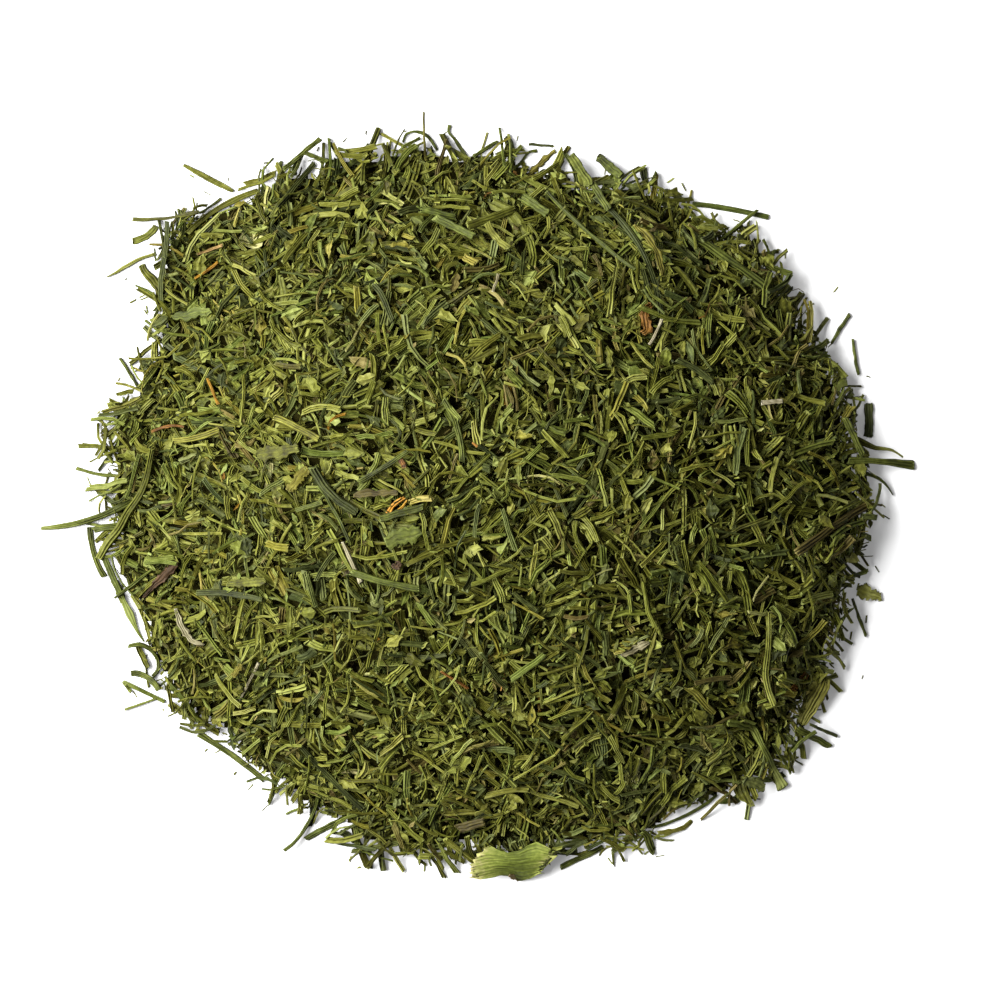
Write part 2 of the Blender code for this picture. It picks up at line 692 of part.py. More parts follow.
def make_collar(below, material, rng):
    """The torn collar of stalk: an arched strip with fibres along it, wider at its ragged ends."""
    spec = Cutting("stalk_collar", LEAF, "", (COLLAR_AT[0] / MM, COLLAR_AT[1] / MM),
                   math.degrees(COLLAR_HEADING), COLLAR_LENGTH / MM, COLLAR_END_WIDTH / MM, COLLAR_BEND)
    points, headings = arc_points(spec, COLLAR_STATIONS)
    heights = rest_on(points, headings, COLLAR_END_WIDTH / 2, below)
    rows = []
    for index, point in enumerate(points):
        spread = abs(2 * index / (COLLAR_STATIONS - 1) - 1)
        width = COLLAR_WAIST_WIDTH + (COLLAR_END_WIDTH - COLLAR_WAIST_WIDTH) * spread**2
        forward = Vector((math.cos(headings[index]), math.sin(headings[index])))
        side = Vector((-forward.y, forward.x))
        centre, swing = heights[index]
        row = []
        for fibre in range(COLLAR_FIBRES + 1):
            across = 2 * fibre / COLLAR_FIBRES - 1
            tear = 0
            if index in (0, COLLAR_STATIONS - 1):
                tear = rng.uniform(-COLLAR_TEAR, COLLAR_TEAR)
            spot = point + side * (across * width / 2) + forward * tear
            arch = COLLAR_ARCH * (1 - across**2) * (width / COLLAR_END_WIDTH)
            ridge = COLLAR_RIDGE * (fibre % 2)
            level = centre + swing * across + arch
            row.append((spot.x, spot.y, level, level + COLLAR_THICKNESS + ridge))
        rows.append(row)
    return plate_solid("stalk_collar", rows, material)


def plate_solid(name, rows, material):
    """A closed plate from rows of points that each hold a lower and an upper height."""
    columns = len(rows[0])
    vertices = [(x, y, low) for row in rows for x, y, low, _ in row]
    layer = len(vertices)
    vertices += [(x, y, high) for row in rows for x, y, _, high in row]
    faces = []
    for row in range(len(rows) - 1):
        for column in range(columns - 1):
            a = row * columns + column
            b = a + 1
            c = b + columns
            d = a + columns
            faces += [(a, c, b), (a, d, c)]
            faces += [(a + layer, b + layer, c + layer), (a + layer, c + layer, d + layer)]
    loop = list(range(columns))
    loop += [row * columns + columns - 1 for row in range(1, len(rows))]
    loop += [(len(rows) - 1) * columns + column for column in range(columns - 2, -1, -1)]
    loop += [row * columns for row in range(len(rows) - 2, 0, -1)]
    for start, finish in zip(loop, loop[1:] + loop[:1]):
        faces += [(start, finish, finish + layer), (start, finish + layer, start + layer)]
    item = make_object(name, vertices, faces, material)
    shape = bmesh.new()
    shape.from_mesh(item.data)
    bmesh.ops.recalc_face_normals(shape, faces=shape.faces)
    shape.to_mesh(item.data)
    shape.free()
    return item


def centre_on_origin(items):
    """Shift everything in plan so that the middle of its extent is at the origin."""
    corners = [vertex.co for item in items for vertex in item.data.vertices]
    middle = [(min(c[axis] for c in corners) + max(c[axis] for c in corners)) / 2 for axis in (0, 1)]
    for item in items:
        for vertex in item.data.vertices:
            vertex.co.x -= middle[0]
            vertex.co.y -= middle[1]


def main():
    clear_scene()
    finishes = {name: make_finish(name, *look) for name, look in FINISHES.items()}
    rng = random.Random(SEED + 1)
    heap = make_heap(finishes["leaf_olive"])
    items = [heap]
    below = [surface_tree(heap)]
    collar = make_collar(below, finishes["stalk_pale"], rng)
    items.append(collar)
    below.append(surface_tree(collar))
    for cutting in CUTTINGS:
        item = make_cutting(cutting, below, finishes[cutting.finish], rng)
        items.append(item)
        below.append(surface_tree(item))
    centre_on_origin(items)


main()
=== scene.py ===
"""The looks of a flat heap of dried dill: flakes at true size, loose cuttings, floor, light and camera.

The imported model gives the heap's form and the place of every loose cutting.
The flakes are laid one after another on a grid of heights, so each rests on those laid before it.
"""

import math

import bpy
import numpy as np
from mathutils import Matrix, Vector
from mathutils.bvhtree import BVHTree


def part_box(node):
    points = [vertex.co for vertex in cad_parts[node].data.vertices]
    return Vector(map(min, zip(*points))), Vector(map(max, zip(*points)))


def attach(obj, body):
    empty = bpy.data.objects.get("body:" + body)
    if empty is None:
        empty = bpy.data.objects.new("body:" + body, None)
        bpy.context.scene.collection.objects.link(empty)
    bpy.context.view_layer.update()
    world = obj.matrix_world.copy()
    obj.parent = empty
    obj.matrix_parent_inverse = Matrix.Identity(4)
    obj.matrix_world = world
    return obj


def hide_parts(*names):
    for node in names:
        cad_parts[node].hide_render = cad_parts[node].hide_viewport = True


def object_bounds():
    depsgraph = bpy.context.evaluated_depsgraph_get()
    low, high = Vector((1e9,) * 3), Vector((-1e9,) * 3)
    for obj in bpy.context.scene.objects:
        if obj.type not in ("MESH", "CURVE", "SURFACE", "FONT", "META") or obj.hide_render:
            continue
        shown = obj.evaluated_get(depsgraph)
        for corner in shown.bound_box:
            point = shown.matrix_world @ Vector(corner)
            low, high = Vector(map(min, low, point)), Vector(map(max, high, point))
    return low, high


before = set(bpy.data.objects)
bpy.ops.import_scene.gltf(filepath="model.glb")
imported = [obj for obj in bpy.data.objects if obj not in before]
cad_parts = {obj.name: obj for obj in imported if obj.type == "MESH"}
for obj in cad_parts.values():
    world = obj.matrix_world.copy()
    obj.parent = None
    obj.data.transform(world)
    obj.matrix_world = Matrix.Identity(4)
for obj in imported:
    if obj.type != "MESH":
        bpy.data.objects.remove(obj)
cad_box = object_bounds()

MM = 0.001
SEED = 11

# The camera looks straight down, with the middle of the picture a little beside the heap's own
VIEW_CENTRE = (0.0027, -0.0004)
VIEW_WIDTH = 0.125
CAMERA_HEIGHT = 0.75
SENSOR = 36.0
CLIP_START = 0.01
CLIP_END = 20.0

# The white floor, the soft light from the left, and the white surrounding
WHITE = (1, 1, 1, 1)
FLOOR_REACH = 3.0
FLOOR_COLOUR = (0.44, 0.44, 0.44, 1)
FLOOR_GLOW = 0.16
FLOOR_ROUGHNESS = 0.9
FLOOR_SPECULAR = 0.1
KEY_PLACE = (-0.36, 0.085, 0.34)
KEY_AIM = (0, 0, 0.008)
KEY_SIZE = 0.40
KEY_POWER = 19.6
SURROUNDING_STRENGTH = 0.33

# The grid of heights that the flakes are laid on
CELL = 0.00014
MARGIN = 0.004
PROBE_CELL = 0.0005
SMOOTHING_ROUNDS = 5
BATCH = 300
ALONG_SAMPLES = 9
FILL_ALONG = np.linspace(-0.5, 0.5, 40)[None, :]
FILL_ACROSS = np.linspace(-0.5, 0.5, 6)[:, None]

# How deep the bed of the flakes lies, and the thin layer that the core of painted shade keeps inside the rim
BED_DEPTH = 0.0024
CORE_DEPTH = 0.0004
CORE_STEP = 5
GROUND_EDGE = 0.0014
GROUND_DEPTH = 0.00012

# Where a flake may lie: near its target's height, not too steep, and a little into what is below
TARGET_OFFSET = -0.0002
LEAST_TARGET = 0.0002
OVERSHOOT = 0.0006
MOST_SLOPE = 1.1
SINK = 0.3
UNDERSIDE_GAP = 0.00008

# The dense part of the heap in plan: its middle, its reach, and where that swells or draws in
OUTLINE_MIDDLE = (0.0008, -0.0011)
OUTLINE_REACH = 0.0462
OUTLINE_BULGES = (
    (10, 0.0014, 35),
    (78, -0.0032, 12),
    (118, 0.0022, 14),
    (139, 0.0072, 9),
    (178, 0.0020, 16),
    (238, -0.0018, 18),
    (276, -0.0026, 12),
    (318, 0.0022, 20),
)
OUTLINE_WAVES = ((9, 0.0005, 1.0), (17, 0.0004, 2.0), (31, 0.0003, 4.0))
RIM_LAYER = 0.0015
RIM_RAMP = 0.0012

# How the flakes' headings go together: waves of the plan that turn them, and how far each strays
DRIFT_WAVES = ((620, 340, 0.4), (-410, 730, 2.1), (880, -260, 4.4), (300, 560, 5.2))
DRIFT_SHARE = 0.5
DRIFT_STRAY = 0.35
TWIN_SHARE = 0.2
TWIN_STRAY = 0.09
TWIN_SHORTEST = 0.7
TWIN_SPREAD = 0.5

# What one sort of flake is like: its share of all, its length and width, and its depth for its width
SORTS = {
    "thread": {"share": 0.28, "length": (0.0018, 0.0072), "width": (0.00028, 0.0005), "depth": (0.6, 0.9)},
    "strip": {"share": 0.19, "length": (0.0020, 0.0068), "width": (0.0005, 0.00105), "depth": (0.32, 0.5)},
    "stem": {"share": 0.08, "length": (0.0030, 0.0088), "width": (0.0005, 0.0009), "depth": (0.6, 0.8)},
    "scrap": {"share": 0.05, "length": (0.0013, 0.0030), "width": (0.0009, 0.0020), "depth": (0.1, 0.18)},
    "bit": {"share": 0.16, "length": (0.0005, 0.0014), "width": (0.0003, 0.0008), "depth": (0.2, 0.4)},
    "fibre": {"share": 0.10, "length": (0.0012, 0.0040), "width": (0.00014, 0.00024), "depth": (0.7, 1.0)},
    "chip": {"share": 0.14, "length": (0.0004, 0.0012), "width": (0.0002, 0.0004), "depth": (0.4, 0.8)},
}
LENGTH_SPREAD = (1.8, 2.4)
TWIN_SORTS = ("thread", "strip")
SMALL_SORTS = ("bit", "fibre", "chip", "scrap")
FILLER_SORTS = ("scrap", "bit", "fibre")
TORN_SORTS = ("scrap", "bit")

# Sections of the flakes, anticlockwise seen from the tip: across in half widths, and up in depths
SECTIONS = {
    "thread": ((-0.6, 0.6, 1.0, 0.45, 0.0, -0.4, -1.0), (0.0, 0.0, 0.55, 1.0, 0.66, 1.0, 0.5)),
    "strip": (
        (-0.9, 0.9, 1.0, 0.7, 0.38, 0.02, -0.33, -0.7, -1.0),
        (0.0, 0.0, 0.6, 1.0, 0.5, 0.95, 0.45, 1.0, 0.5),
    ),
    "stem": ((-0.6, 0.6, 1.0, 0.66, 0.1, -0.5, -1.0), (0.0, 0.0, 0.4, 1.0, 0.55, 1.0, 0.45)),
    "scrap": ((-1.0, 0.0, 1.0, 1.0, 0.4, -0.1, -0.6, -1.0), (0.0, -0.4, 0.0, 0.7, 0.6, 1.2, 0.6, 0.9)),
    "bit": ((-0.9, 0.9, 1.0, 0.1, -1.0), (0.0, 0.0, 0.8, 0.5, 0.9)),
    "fibre": ((-0.8, 0.8, 0.0), (0.0, 0.0, 1.0)),
    "chip": ((-0.8, 0.8, 0.7, -0.6), (0.0, 0.0, 1.0, 0.9)),
}
STATIONS = {"thread": 4, "strip": 5, "stem": 5, "scrap": 6, "bit": 3, "fibre": 5, "chip": 2}
BENDS = {"thread": 0.08, "strip": 0.05, "stem": 0.05, "scrap": 0.05, "bit": 0.08, "fibre": 0.14, "chip": 0.0}

# How a flake strays from its section and its line, in shares of its length, width or depth
KINK_SHARE = 0.25
LIFT = (-0.01, 0.04)
TAPER = 0.35
SWELL = 0.06
ROLL = 0.3
TWIST = 0.4
RIB_STRAY = 0.06
RIB_EDGE = 0.95
RIB_RISE = 0.1
TORN_WIDTHS = (0.4, 1.15)
TORN_TIP = 0.4
TORN_SWELL = 0.6
CUPPING = (-0.5, 0.7)
BUCKLING = 0.3
TEAR = 0.13
SKEW = 0.2
SHADE_SPREAD = (2.0, 2.2)
SHADE_STRAY = 0.05
CAST = (0.5, 0.2)

# How many flakes are tried, and the share of each tone
FLAKE_COUNT = 34000
FILLER_COUNT = 6500
FILLER_GRIP = 0.4
FLAKE_TONES = {
    "olive": 0.60,
    "green": 0.15,
    "deep": 0.15,
    "yellow": 0.038,
    "brown": 0.035,
    "pale": 0.009,
    "orange": 0.0008,
    "rust": 0.0012,
}
PIECE_LIMIT = 3200

# How flakes come up to the loose cuttings above them
MOST_FILL = 0.0022
SUPPORT_ROUNDS = 14
SUPPORT_SLOPE = 0.45
TOP_UP = 0.0004
TOP_UP_COUNT = 1500
OPEN_SHARE = 0.2

# How a loose cutting is drawn again along its solid
UP = Vector((0, 0, 1))
LOWEST = 0.00002
FIBRE_SPAN = 0.0007
SECTION_POINTS = 15
EDGE_SAMPLES = 5
CURVE_STEPS = 81
CURVE_ROUNDS = 5
CURVE_POWERS = np.arange(4)
WIDTH_BINS = 5
LOOSE_STATIONS = 25
TILT_PROBE = 0.4
FLOOR_GAP = 0.0003
UNDERSIDE = np.array((-0.75, 0.0, 0.75))
STYLE_FIELDS = ("ridges", "relief", "crown", "slim", "waver", "torn", "curl")
STYLES = {
    "stem": (3, 0.65, 0.4, 0.9, 0.06, 0.0, 0.0),
    "thread": (2, 0.4, 0.5, 0.62, 0.12, 0.0, 0.0),
    "strip": (3, 0.5, 0.1, 1.0, 0.06, 0.05, 0.0),
    "leaf": (3, 0.4, 0.1, 1.0, 0.08, 0.28, 0.5),
    "stalk": (6, 0.8, 0.2, 1.0, 0.04, 0.05, 0.0),
}
STYLES = {name: dict(zip(STYLE_FIELDS, values)) for name, values in STYLES.items()}
LEAF_PROFILE = (0.6, 0.9, 1.0, 0.85, 1.0, 0.9, 0.65)
WAVE_MIDDLE = 0.5
WAVE_SWING = 0.35
WAVE_STRAY = 0.5
RIDGE_STRAY = 0.2
FADE_MIDDLE = 0.8
FADE_SWING = 0.3
FADE_RANGE = (0.2, 1.2)
LOOSE_TEAR = 0.16
LOOSE_SKEW = 0.25
LOOSE_SHADE = 0.3
LOOSE_SHADE_STRAY = 0.12
LOOSE_CAST = (0.5, 0.1)
DROP_SHARE = 0.3
FEATURE_SHADES = (0.1, 0.45)
NOISE_KNOTS = 7
KNOT_MARGIN = 1.001
TORN_KNOTS = 11
NODE_STYLES = {
    "thread": (
        "twig_left_upper stick_lower_left curl_left stem_bottom_left stick_left leaf_left_upper curl_top"
        " thread_top_tall twig_top_hook stick_top twig_top_bent stick_top_right stick_right_upper"
        " stick_right_tall twig_right stick_right_lower stick_lower_right stick_bottom_right bleached_sliver"
        " orange_sliver_upper orange_sliver_lower leaf_right_curved"
    ),
    "leaf": (
        "withered_leaf_left leaf_top_yellow scrap_right rusty_scrap leaf_yellow bleached_leaf"
        " bleached_hook"
    ),
    "strip": "strip_left_upper leaf_top_left stub_right_wide",
    "stalk": "split_stalk stalk_collar",
}
NODE_STYLES = {node: style for style, nodes in NODE_STYLES.items() for node in nodes.split()}
TONE_SLOTS = {
    "olive": "leaf_olive",
    "deep": "stem_dark",
    "yellow": "leaf_yellow",
    "brown": "stem_brown",
    "pale": "stalk_pale",
    "straw": "straw_bleached",
    "orange": "petal_orange",
    "rust": "petal_orange",
    "tan": "petal_orange",
    "purple": "stem_brown",
    "collar": "stalk_pale",
    "stalk": "stem_brown",
    "green": "stem_green",
}
NODE_TONES = {
    "purple": "withered_leaf_left",
    "green": "stem_left_sheath stem_flared",
    "brown": "stem_right_thick",
    "olive": (
        "stem_left_thick stem_right_long strip_left_upper arch_top_left leaf_top_left leaf_left_upper"
        " scrap_right leaf_right_curved"
    ),
    "stalk": "split_stalk",
    "rust": "rusty_scrap",
    "collar": "stalk_collar",
    "tan": "orange_sliver_upper",
}
NODE_TONES = {node: tone for tone, nodes in NODE_TONES.items() for node in nodes.split()}

# How light loose cuttings are from the outer end inwards; for two of them this is partly painted light
NODE_SHADES_AND_PAINTED_LIGHT = {
    "stem_left_long": (1.2, 0.4, 0.3, 0.3, 0.3, 0.3),
    "stem_left_sheath": (0.35, 0.35, 0.35, 0.9, 1.0, 0.6, 0.4),
    "stem_left_thick": (0.6, 0.35, 0.35),
    "rusty_scrap": (0.6,),
    "stem_right_long": (0.7,),
    "leaf_top_left": (0.5,),
    "leaf_left_upper": (0.8,),
    "scrap_right": (0.9,),
    # Painted light: lighter than its own colour, so that its faces tilted away from the lamp read as lit
    "split_stalk": (1.0, 0.8, 0.7),
    "bleached_hook": (0.3,),
    "bleached_leaf": (-0.1,),
    # Partly the flare's own paleness, partly painted light for an end that lies facing away from the lamp in
    # the heap's shadow
    "stem_flared": (1.9, 1.4, 0.7, 0.5, 0.5, 0.5, 0.5, 0.5, 0.5),
    "forked_twig": (0.9, 0.6, 0.6),
    "twig_left_upper": (0.8, 0.5, 0.5),
}

# Widths of loose cuttings from the outer end inwards, in millimetres
NODE_WIDTHS = {
    "stem_left_sheath": (0.8, 0.85, 0.75, 0.7, 1.05, 0.5, 0.2),
    "withered_leaf_left": (0.25, 0.6, 1.0, 1.3, 1.2, 0.6),
    "stem_left_long": (0.5, 0.7, 0.75, 0.8, 0.8),
    "stem_left_thick": (1.0, 1.1, 1.2, 1.05, 1.0, 0.9, 0.7),
    "stem_flared": (1.9, 1.2, 0.9, 0.8, 0.8, 0.8, 0.8, 0.85, 0.85, 0.85),
    "split_stalk": (1.3, 1.9, 2.2, 2.4, 2.2),
    "curl_top": (0.3, 0.38, 0.38, 0.4),
    "thread_top_tall": (0.28, 0.3, 0.32, 0.35),
    "twig_top_hook": (0.45, 0.3, 0.35, 0.45, 0.5),
    "twig_top_bent": (0.4, 0.35, 0.4, 0.5),
    "leaf_top_left": (0.4, 0.65, 0.75, 0.75, 0.5),
    "leaf_left_upper": (0.2, 0.45, 0.6, 0.55, 0.5),
    "bleached_hook": (0.5, 0.9, 1.0, 0.6, 0.3),
    "leaf_right_curved": (0.2, 0.4, 0.5, 0.7, 0.9),
    "stem_right_far": (1.15, 1.1, 0.8, 0.75, 0.85, 0.9),
    "twig_right": (0.15, 0.35, 0.5, 0.6),
    "scrap_right": (0.9, 1.5, 1.9, 1.6),
    "bleached_leaf": (0.5, 1.0, 0.9, 0.5),
    "stem_right_long": (0.8, 0.85, 0.8, 0.75, 0.7),
    "curl_left": (0.5, 0.55, 0.55, 0.5, 0.6),
}

# Middle lines of loose cuttings from the outer end inwards, by pixels of the photo
NODE_LINES = {
    "stem_left_sheath": ((105, 558), (112, 575), (120, 592), (126, 605), (133, 620), (138, 632), (144, 641)),
    "stem_left_thick": ((99, 558), (108, 543), (119, 531), (128, 513), (140, 498), (149, 478), (154, 450)),
    "stem_flared": ((783, 787), (779, 779), (768, 757), (749, 722)),
    "split_stalk": ((801, 723), (806, 711), (815, 695), (823, 677)),
    "curl_top": ((403, 142), (405, 134), (413, 131), (422, 132), (430, 138), (437, 150)),
    "twig_top_hook": ((450, 125), (448, 132), (455, 139), (462, 150), (470, 162)),
    "twig_top_bent": ((537, 150), (528, 152), (521, 163), (507, 173)),
    "leaf_top_left": ((184, 165), (208, 178), (233, 191)),
    "leaf_left_upper": ((107, 277), (120, 270), (138, 259), (155, 254)),
    "bleached_hook": ((178, 608), (181, 620), (187, 632), (195, 641), (206, 644)),
    "leaf_right_curved": ((902, 457), (890, 449), (875, 448), (858, 440)),
    "scrap_right": ((881, 597), (872, 594), (858, 589)),
    "bleached_leaf": ((646, 639), (634, 645), (619, 652)),
    "stem_right_long": ((772, 703), (766, 690), (762, 672), (765, 650), (766, 630), (765, 611)),
    "curl_left": ((129, 646), (140, 643), (150, 648), (158, 658), (159, 670), (153, 676)),
}
LINE_ROUNDS = 25

# The scale of the photo, and the pixel that shows the middle of the heap's floor
PIXEL = 0.000125
PICTURE_MIDDLE = (478.5, 496.5)

# The torn collar's lower edge, middle and upper edge from left to right, by pixels of the photo
COLLAR_EDGES = (
    ((479, 878), (490, 876), (500, 874), (508, 875), (514, 878), (521, 880), (530, 878), (540, 873)),
    ((473, 866), (486, 862), (497, 861), (508, 862), (517, 863), (526, 862), (535, 861), (545, 860)),
    ((487, 842), (494, 845), (501, 849), (509, 851), (519, 849), (528, 843), (537, 840), (553, 847)),
)
COLLAR_STATIONS = 61
COLLAR_FIBRES = 41
COLLAR_TEAR = 0.0004
COLLAR_TEAR_FALL = 18
COLLAR_WAVER = 0.00006
COLLAR_RELIEF = 0.00004
COLLAR_RIDGES = 31
COLLAR_RIDGE_STRAY = 0.9
COLLAR_FIBRE_STRAY = 0.7
COLLAR_CURL = 0.0004
COLLAR_THICKNESS = 0.00022
COLLAR_GRAIN_ACROSS = 9
COLLAR_GRAIN_START = 0.02
COLLAR_GRAIN_SPAN = 0.96
COLLAR_GRAIN_SEED = 0.37
COLLAR_CAST = 0.5
# How high the collar's fibres stand, which sets the painted shade between them
COLLAR_CREST = 0.7
COLLAR_CREST_SWING = 0.4
COLLAR_SHADES = (0.9, 0.7, 0.5, 0.35, 0.2, 0.15, 0.2, 0.35, 0.5, 0.7)

# What stands out on top: tone, style, both ends by pixels of the photo, width and sideways bow in pixels
FEATURES = (
    ("stalk", "strip", (176, 441), (222, 430), 6, -2),
    ("rust", "thread", (153, 432), (186, 427), 3, 3),
    ("yellow", "leaf", (244, 662), (236, 675), 6, 0),
    ("brown", "strip", (692, 680), (728, 675), 5, 1),
    ("straw", "strip", (758, 404), (779, 402), 5, 0),
    ("straw", "thread", (659, 322), (647, 347), 3, 1),
    ("straw", "thread", (499, 277), (493, 295), 3, 0),
    ("deep", "strip", (199, 592), (265, 598), 6, 3),
    ("deep", "strip", (674, 362), (709, 384), 6, 2),
    ("green", "strip", (592, 185), (608, 211), 7, 0),
    ("green", "thread", (546, 193), (633, 272), 4, -3),
    ("green", "strip", (422, 211), (456, 220), 7, 0),
    ("green", "strip", (436, 220), (474, 239), 8, 0),
    ("olive", "strip", (468, 229), (515, 211), 8, 0),
    ("green", "strip", (522, 198), (547, 215), 9, 0),
    ("olive", "strip", (487, 226), (508, 252), 7, -2),
    ("orange", "thread", (210, 379), (221, 405), 3, 0),
    ("brown", "strip", (458, 827), (484, 820), 9, 0),
    ("deep", "stem", (317, 468), (360, 512), 9, -5),
    ("green", "thread", (322, 486), (353, 541), 4, 2),
    ("green", "stem", (445, 402), (463, 462), 6, 5),
    ("brown", "leaf", (357, 495), (400, 493), 7, 1),
    ("straw", "thread", (346, 541), (364, 580), 4, 0),
    ("green", "stem", (355, 570), (421, 586), 7, -2),
    ("green", "leaf", (389, 541), (423, 531), 19, 0),
    ("olive", "leaf", (260, 456), (302, 449), 14, 0),
    ("stalk", "strip", (278, 418), (322, 440), 7, 1),
    ("yellow", "leaf", (311, 468), (293, 490), 12, 0),
    ("olive", "leaf", (230, 583), (269, 579), 10, 0),
    ("green", "leaf", (174, 318), (212, 311), 11, 0),
    ("purple", "leaf", (396, 566), (403, 561), 8, 0),
    ("rust", "strip", (402, 458), (407, 468), 5, 0),
    ("green", "strip", (300, 510), (326, 502), 5, 0),
    ("green", "stem", (410, 452), (362, 482), 5, 1),
    ("green", "strip", (383, 518), (425, 507), 7, 0),
    ("olive", "thread", (133, 219), (200, 212), 4, -3),
    ("deep", "thread", (529, 144), (553, 146), 3, 0),
    ("green", "strip", (843, 418), (861, 455), 7, 0),
    ("deep", "thread", (880, 483), (870, 511), 3, 2),
    ("deep", "strip", (860, 516), (875, 517), 6, 0),
    ("deep", "strip", (168, 222), (165, 262), 5, 1),
    ("deep", "strip", (166, 258), (162, 302), 5, -2),
    ("olive", "strip", (133, 241), (156, 226), 7, -3),
    ("green", "strip", (571, 156), (590, 186), 9, 0),
    ("green", "strip", (598, 157), (620, 176), 9, 0),
    ("deep", "leaf", (744, 778), (764, 786), 13, 0),
    ("green", "thread", (791, 751), (815, 731), 4, 2),
    ("tan", "leaf", (509, 874), (521, 879), 6, 0),
)
FEATURE_FLATNESS = {"strip": 0.4, "stem": 0.65, "thread": 0.8, "leaf": 0.12}
FEATURE_LEAST = 0.0002

# Crumbs on the floor: some by pixels of the photo, the others by chance near the rim
CRUMBS = ((126, 279), (142, 296), (147, 309), (119, 379), (133, 301), (192, 176), (235, 773), (553, 146))
CRUMB_COUNT = 50
CRUMB_REACH = 0.05
CRUMB_FALL = 0.0008
CRUMB_GAP = 0.0009
CRUMB_LENGTH = (0.0003, 0.0011)
CRUMB_WIDTH = (0.00015, 0.0003)
CRUMB_DEPTH = 0.6

# The two twigs that fork: where the stem and its side thread start and end, in millimetres, and their widths
FORKS = {
    "forked_twig": (
        ((-44.4, -23.1), (-39.2, -25.6), 0.6),
        ((-44.4, -23.1), (-43.4, -24.4), 0.5),
        ((-44.2, -26.6), (-40.2, -25.2), 0.35),
    ),
    "twig_top_left": (((-24.3, 40.9), (-19.7, 44.7), 0.75), ((-21.8, 43.0), (-18.8, 41.8), 0.6)),
}


def srgb(red, green, blue):
    """A colour from its usual 0 to 255 values, as linear red, green, blue and alpha."""
    shares = (value / 255 for value in (red, green, blue))
    linear = (s / 12.92 if s <= 0.04045 else ((s + 0.055) / 1.055) ** 2.4 for s in shares)
    return (*linear, 1.0)


# Colours of the dried herb, from the darkest to the lightest of each finish
TONES = {
    "olive": (srgb(50, 49, 11), srgb(85, 88, 23), srgb(118, 122, 47), srgb(141, 146, 76)),
    "green": (srgb(44, 49, 13), srgb(77, 86, 27), srgb(109, 119, 49), srgb(134, 143, 76)),
    "deep": (srgb(33, 38, 13), srgb(60, 67, 27), srgb(87, 94, 44), srgb(116, 124, 70)),
    "yellow": (srgb(74, 69, 17), srgb(106, 102, 30), srgb(132, 128, 49), srgb(154, 149, 78)),
    "brown": (srgb(57, 50, 20), srgb(85, 78, 33), srgb(112, 105, 50), srgb(136, 128, 73)),
    "pale": (srgb(92, 96, 38), srgb(124, 128, 60), srgb(154, 154, 86), srgb(184, 181, 122)),
    "straw": (srgb(110, 104, 74), srgb(144, 138, 106), srgb(176, 170, 140), srgb(206, 200, 176)),
    "orange": (srgb(104, 76, 16), srgb(150, 112, 26), srgb(184, 142, 40), srgb(204, 170, 78)),
    "tan": (srgb(110, 92, 50), srgb(152, 130, 76), srgb(186, 162, 100), srgb(212, 190, 142)),
    "rust": (srgb(66, 46, 18), srgb(112, 78, 30), srgb(154, 114, 48), srgb(186, 152, 84)),
    "purple": (srgb(44, 33, 17), srgb(68, 50, 29), srgb(94, 70, 44), srgb(130, 106, 76)),
    "collar": (srgb(64, 72, 20), srgb(97, 110, 38), srgb(130, 140, 62), srgb(180, 174, 117)),
    "stalk": (srgb(62, 61, 16), srgb(100, 99, 27), srgb(136, 136, 46), srgb(178, 178, 90)),
}
TONE_STOPS = (0.36, 0.66)

# How far shade, fibres and patches move the tone along its ramp, and the noise that they are made of
TONE_START = -0.83
SHADE_WEIGHT = 0.85
FIBRE_WEIGHT = 1.0
PATCH_WEIGHT = 0.85
GRAIN_SCALES = (5.0, 3.5, 90.0)
FIBRE_DETAIL = 4.0
PATCH_SCALE = 1900.0
HUE_MIDDLE = 0.478
HUE_SWING = 0.032

# How dark the painted shade in the grooves and on the undersides is, and how pale the cut ends
GROOVE_SHADE = 0.8
GROOVE_SHADES = {"stalk": 1.4}
GROOVE_SHADE_COLOUR = (0.22, 0.20, 0.13, 1)
END_START = 0.985
END_PALENESS = 0.4

# How rough, uneven and shiny the herb is
ROUGHNESS = 0.45
ROUGHNESS_SWING = 0.3
PATCH_RELIEF = 0.6
HERB_BUMP = {"Strength": 0.6, "Distance": 0.0001}
HERB_SPECULAR = 0.10

# The core of painted shade: a near-black mound that shows between the flakes where shaded flakes would lie
CORE_SHADE_TONES = (srgb(16, 13, 6), srgb(50, 48, 18))
CORE_SCALE = 1800.0
CORE_BUMP = {"Strength": 1.0, "Distance": 0.0003}
CORE_ROUGHNESS = 0.9

# How much darker the herb is than it looks: the light is so bright that the white floor around it clips
HERB_SHARE = (0.5, 0.5, 0.5, 1.0)


def outline_reach(x, y):
    """How far inside the heap's dense part a point of the plan lies, by the reach in its heading."""
    heading = np.arctan2(y - OUTLINE_MIDDLE[1], x - OUTLINE_MIDDLE[0])
    reach = OUTLINE_REACH
    for angle, rise, spread in OUTLINE_BULGES:
        turn = (np.degrees(heading) - angle + 180) % 360 - 180
        reach = reach + rise * np.exp(-((turn / spread) ** 2))
    for count, swing, phase in OUTLINE_WAVES:
        reach = reach + swing * np.sin(count * heading + phase)
    return reach - np.hypot(x - OUTLINE_MIDDLE[0], y - OUTLINE_MIDDLE[1])


def drift(x, y):
    """The heading that flakes near a point tend to: the direction of a sum of plane waves."""
    across = sum(np.sin(a * x + b * y + phase) for a, b, phase in DRIFT_WAVES)
    along = sum(np.cos(b * x - a * y + 2 * phase) for a, b, phase in DRIFT_WAVES)
    return np.arctan2(across, along)


def smooth_rounds(grid, rounds):
    """Blur a grid by averaging each cell with its neighbours, several times over."""
    for _ in range(rounds):
        grid = (np.roll(grid, 1, 0) + grid + np.roll(grid, -1, 0)) / 3
        grid = (np.roll(grid, 1, 1) + grid + np.roll(grid, -1, 1)) / 3
    return grid


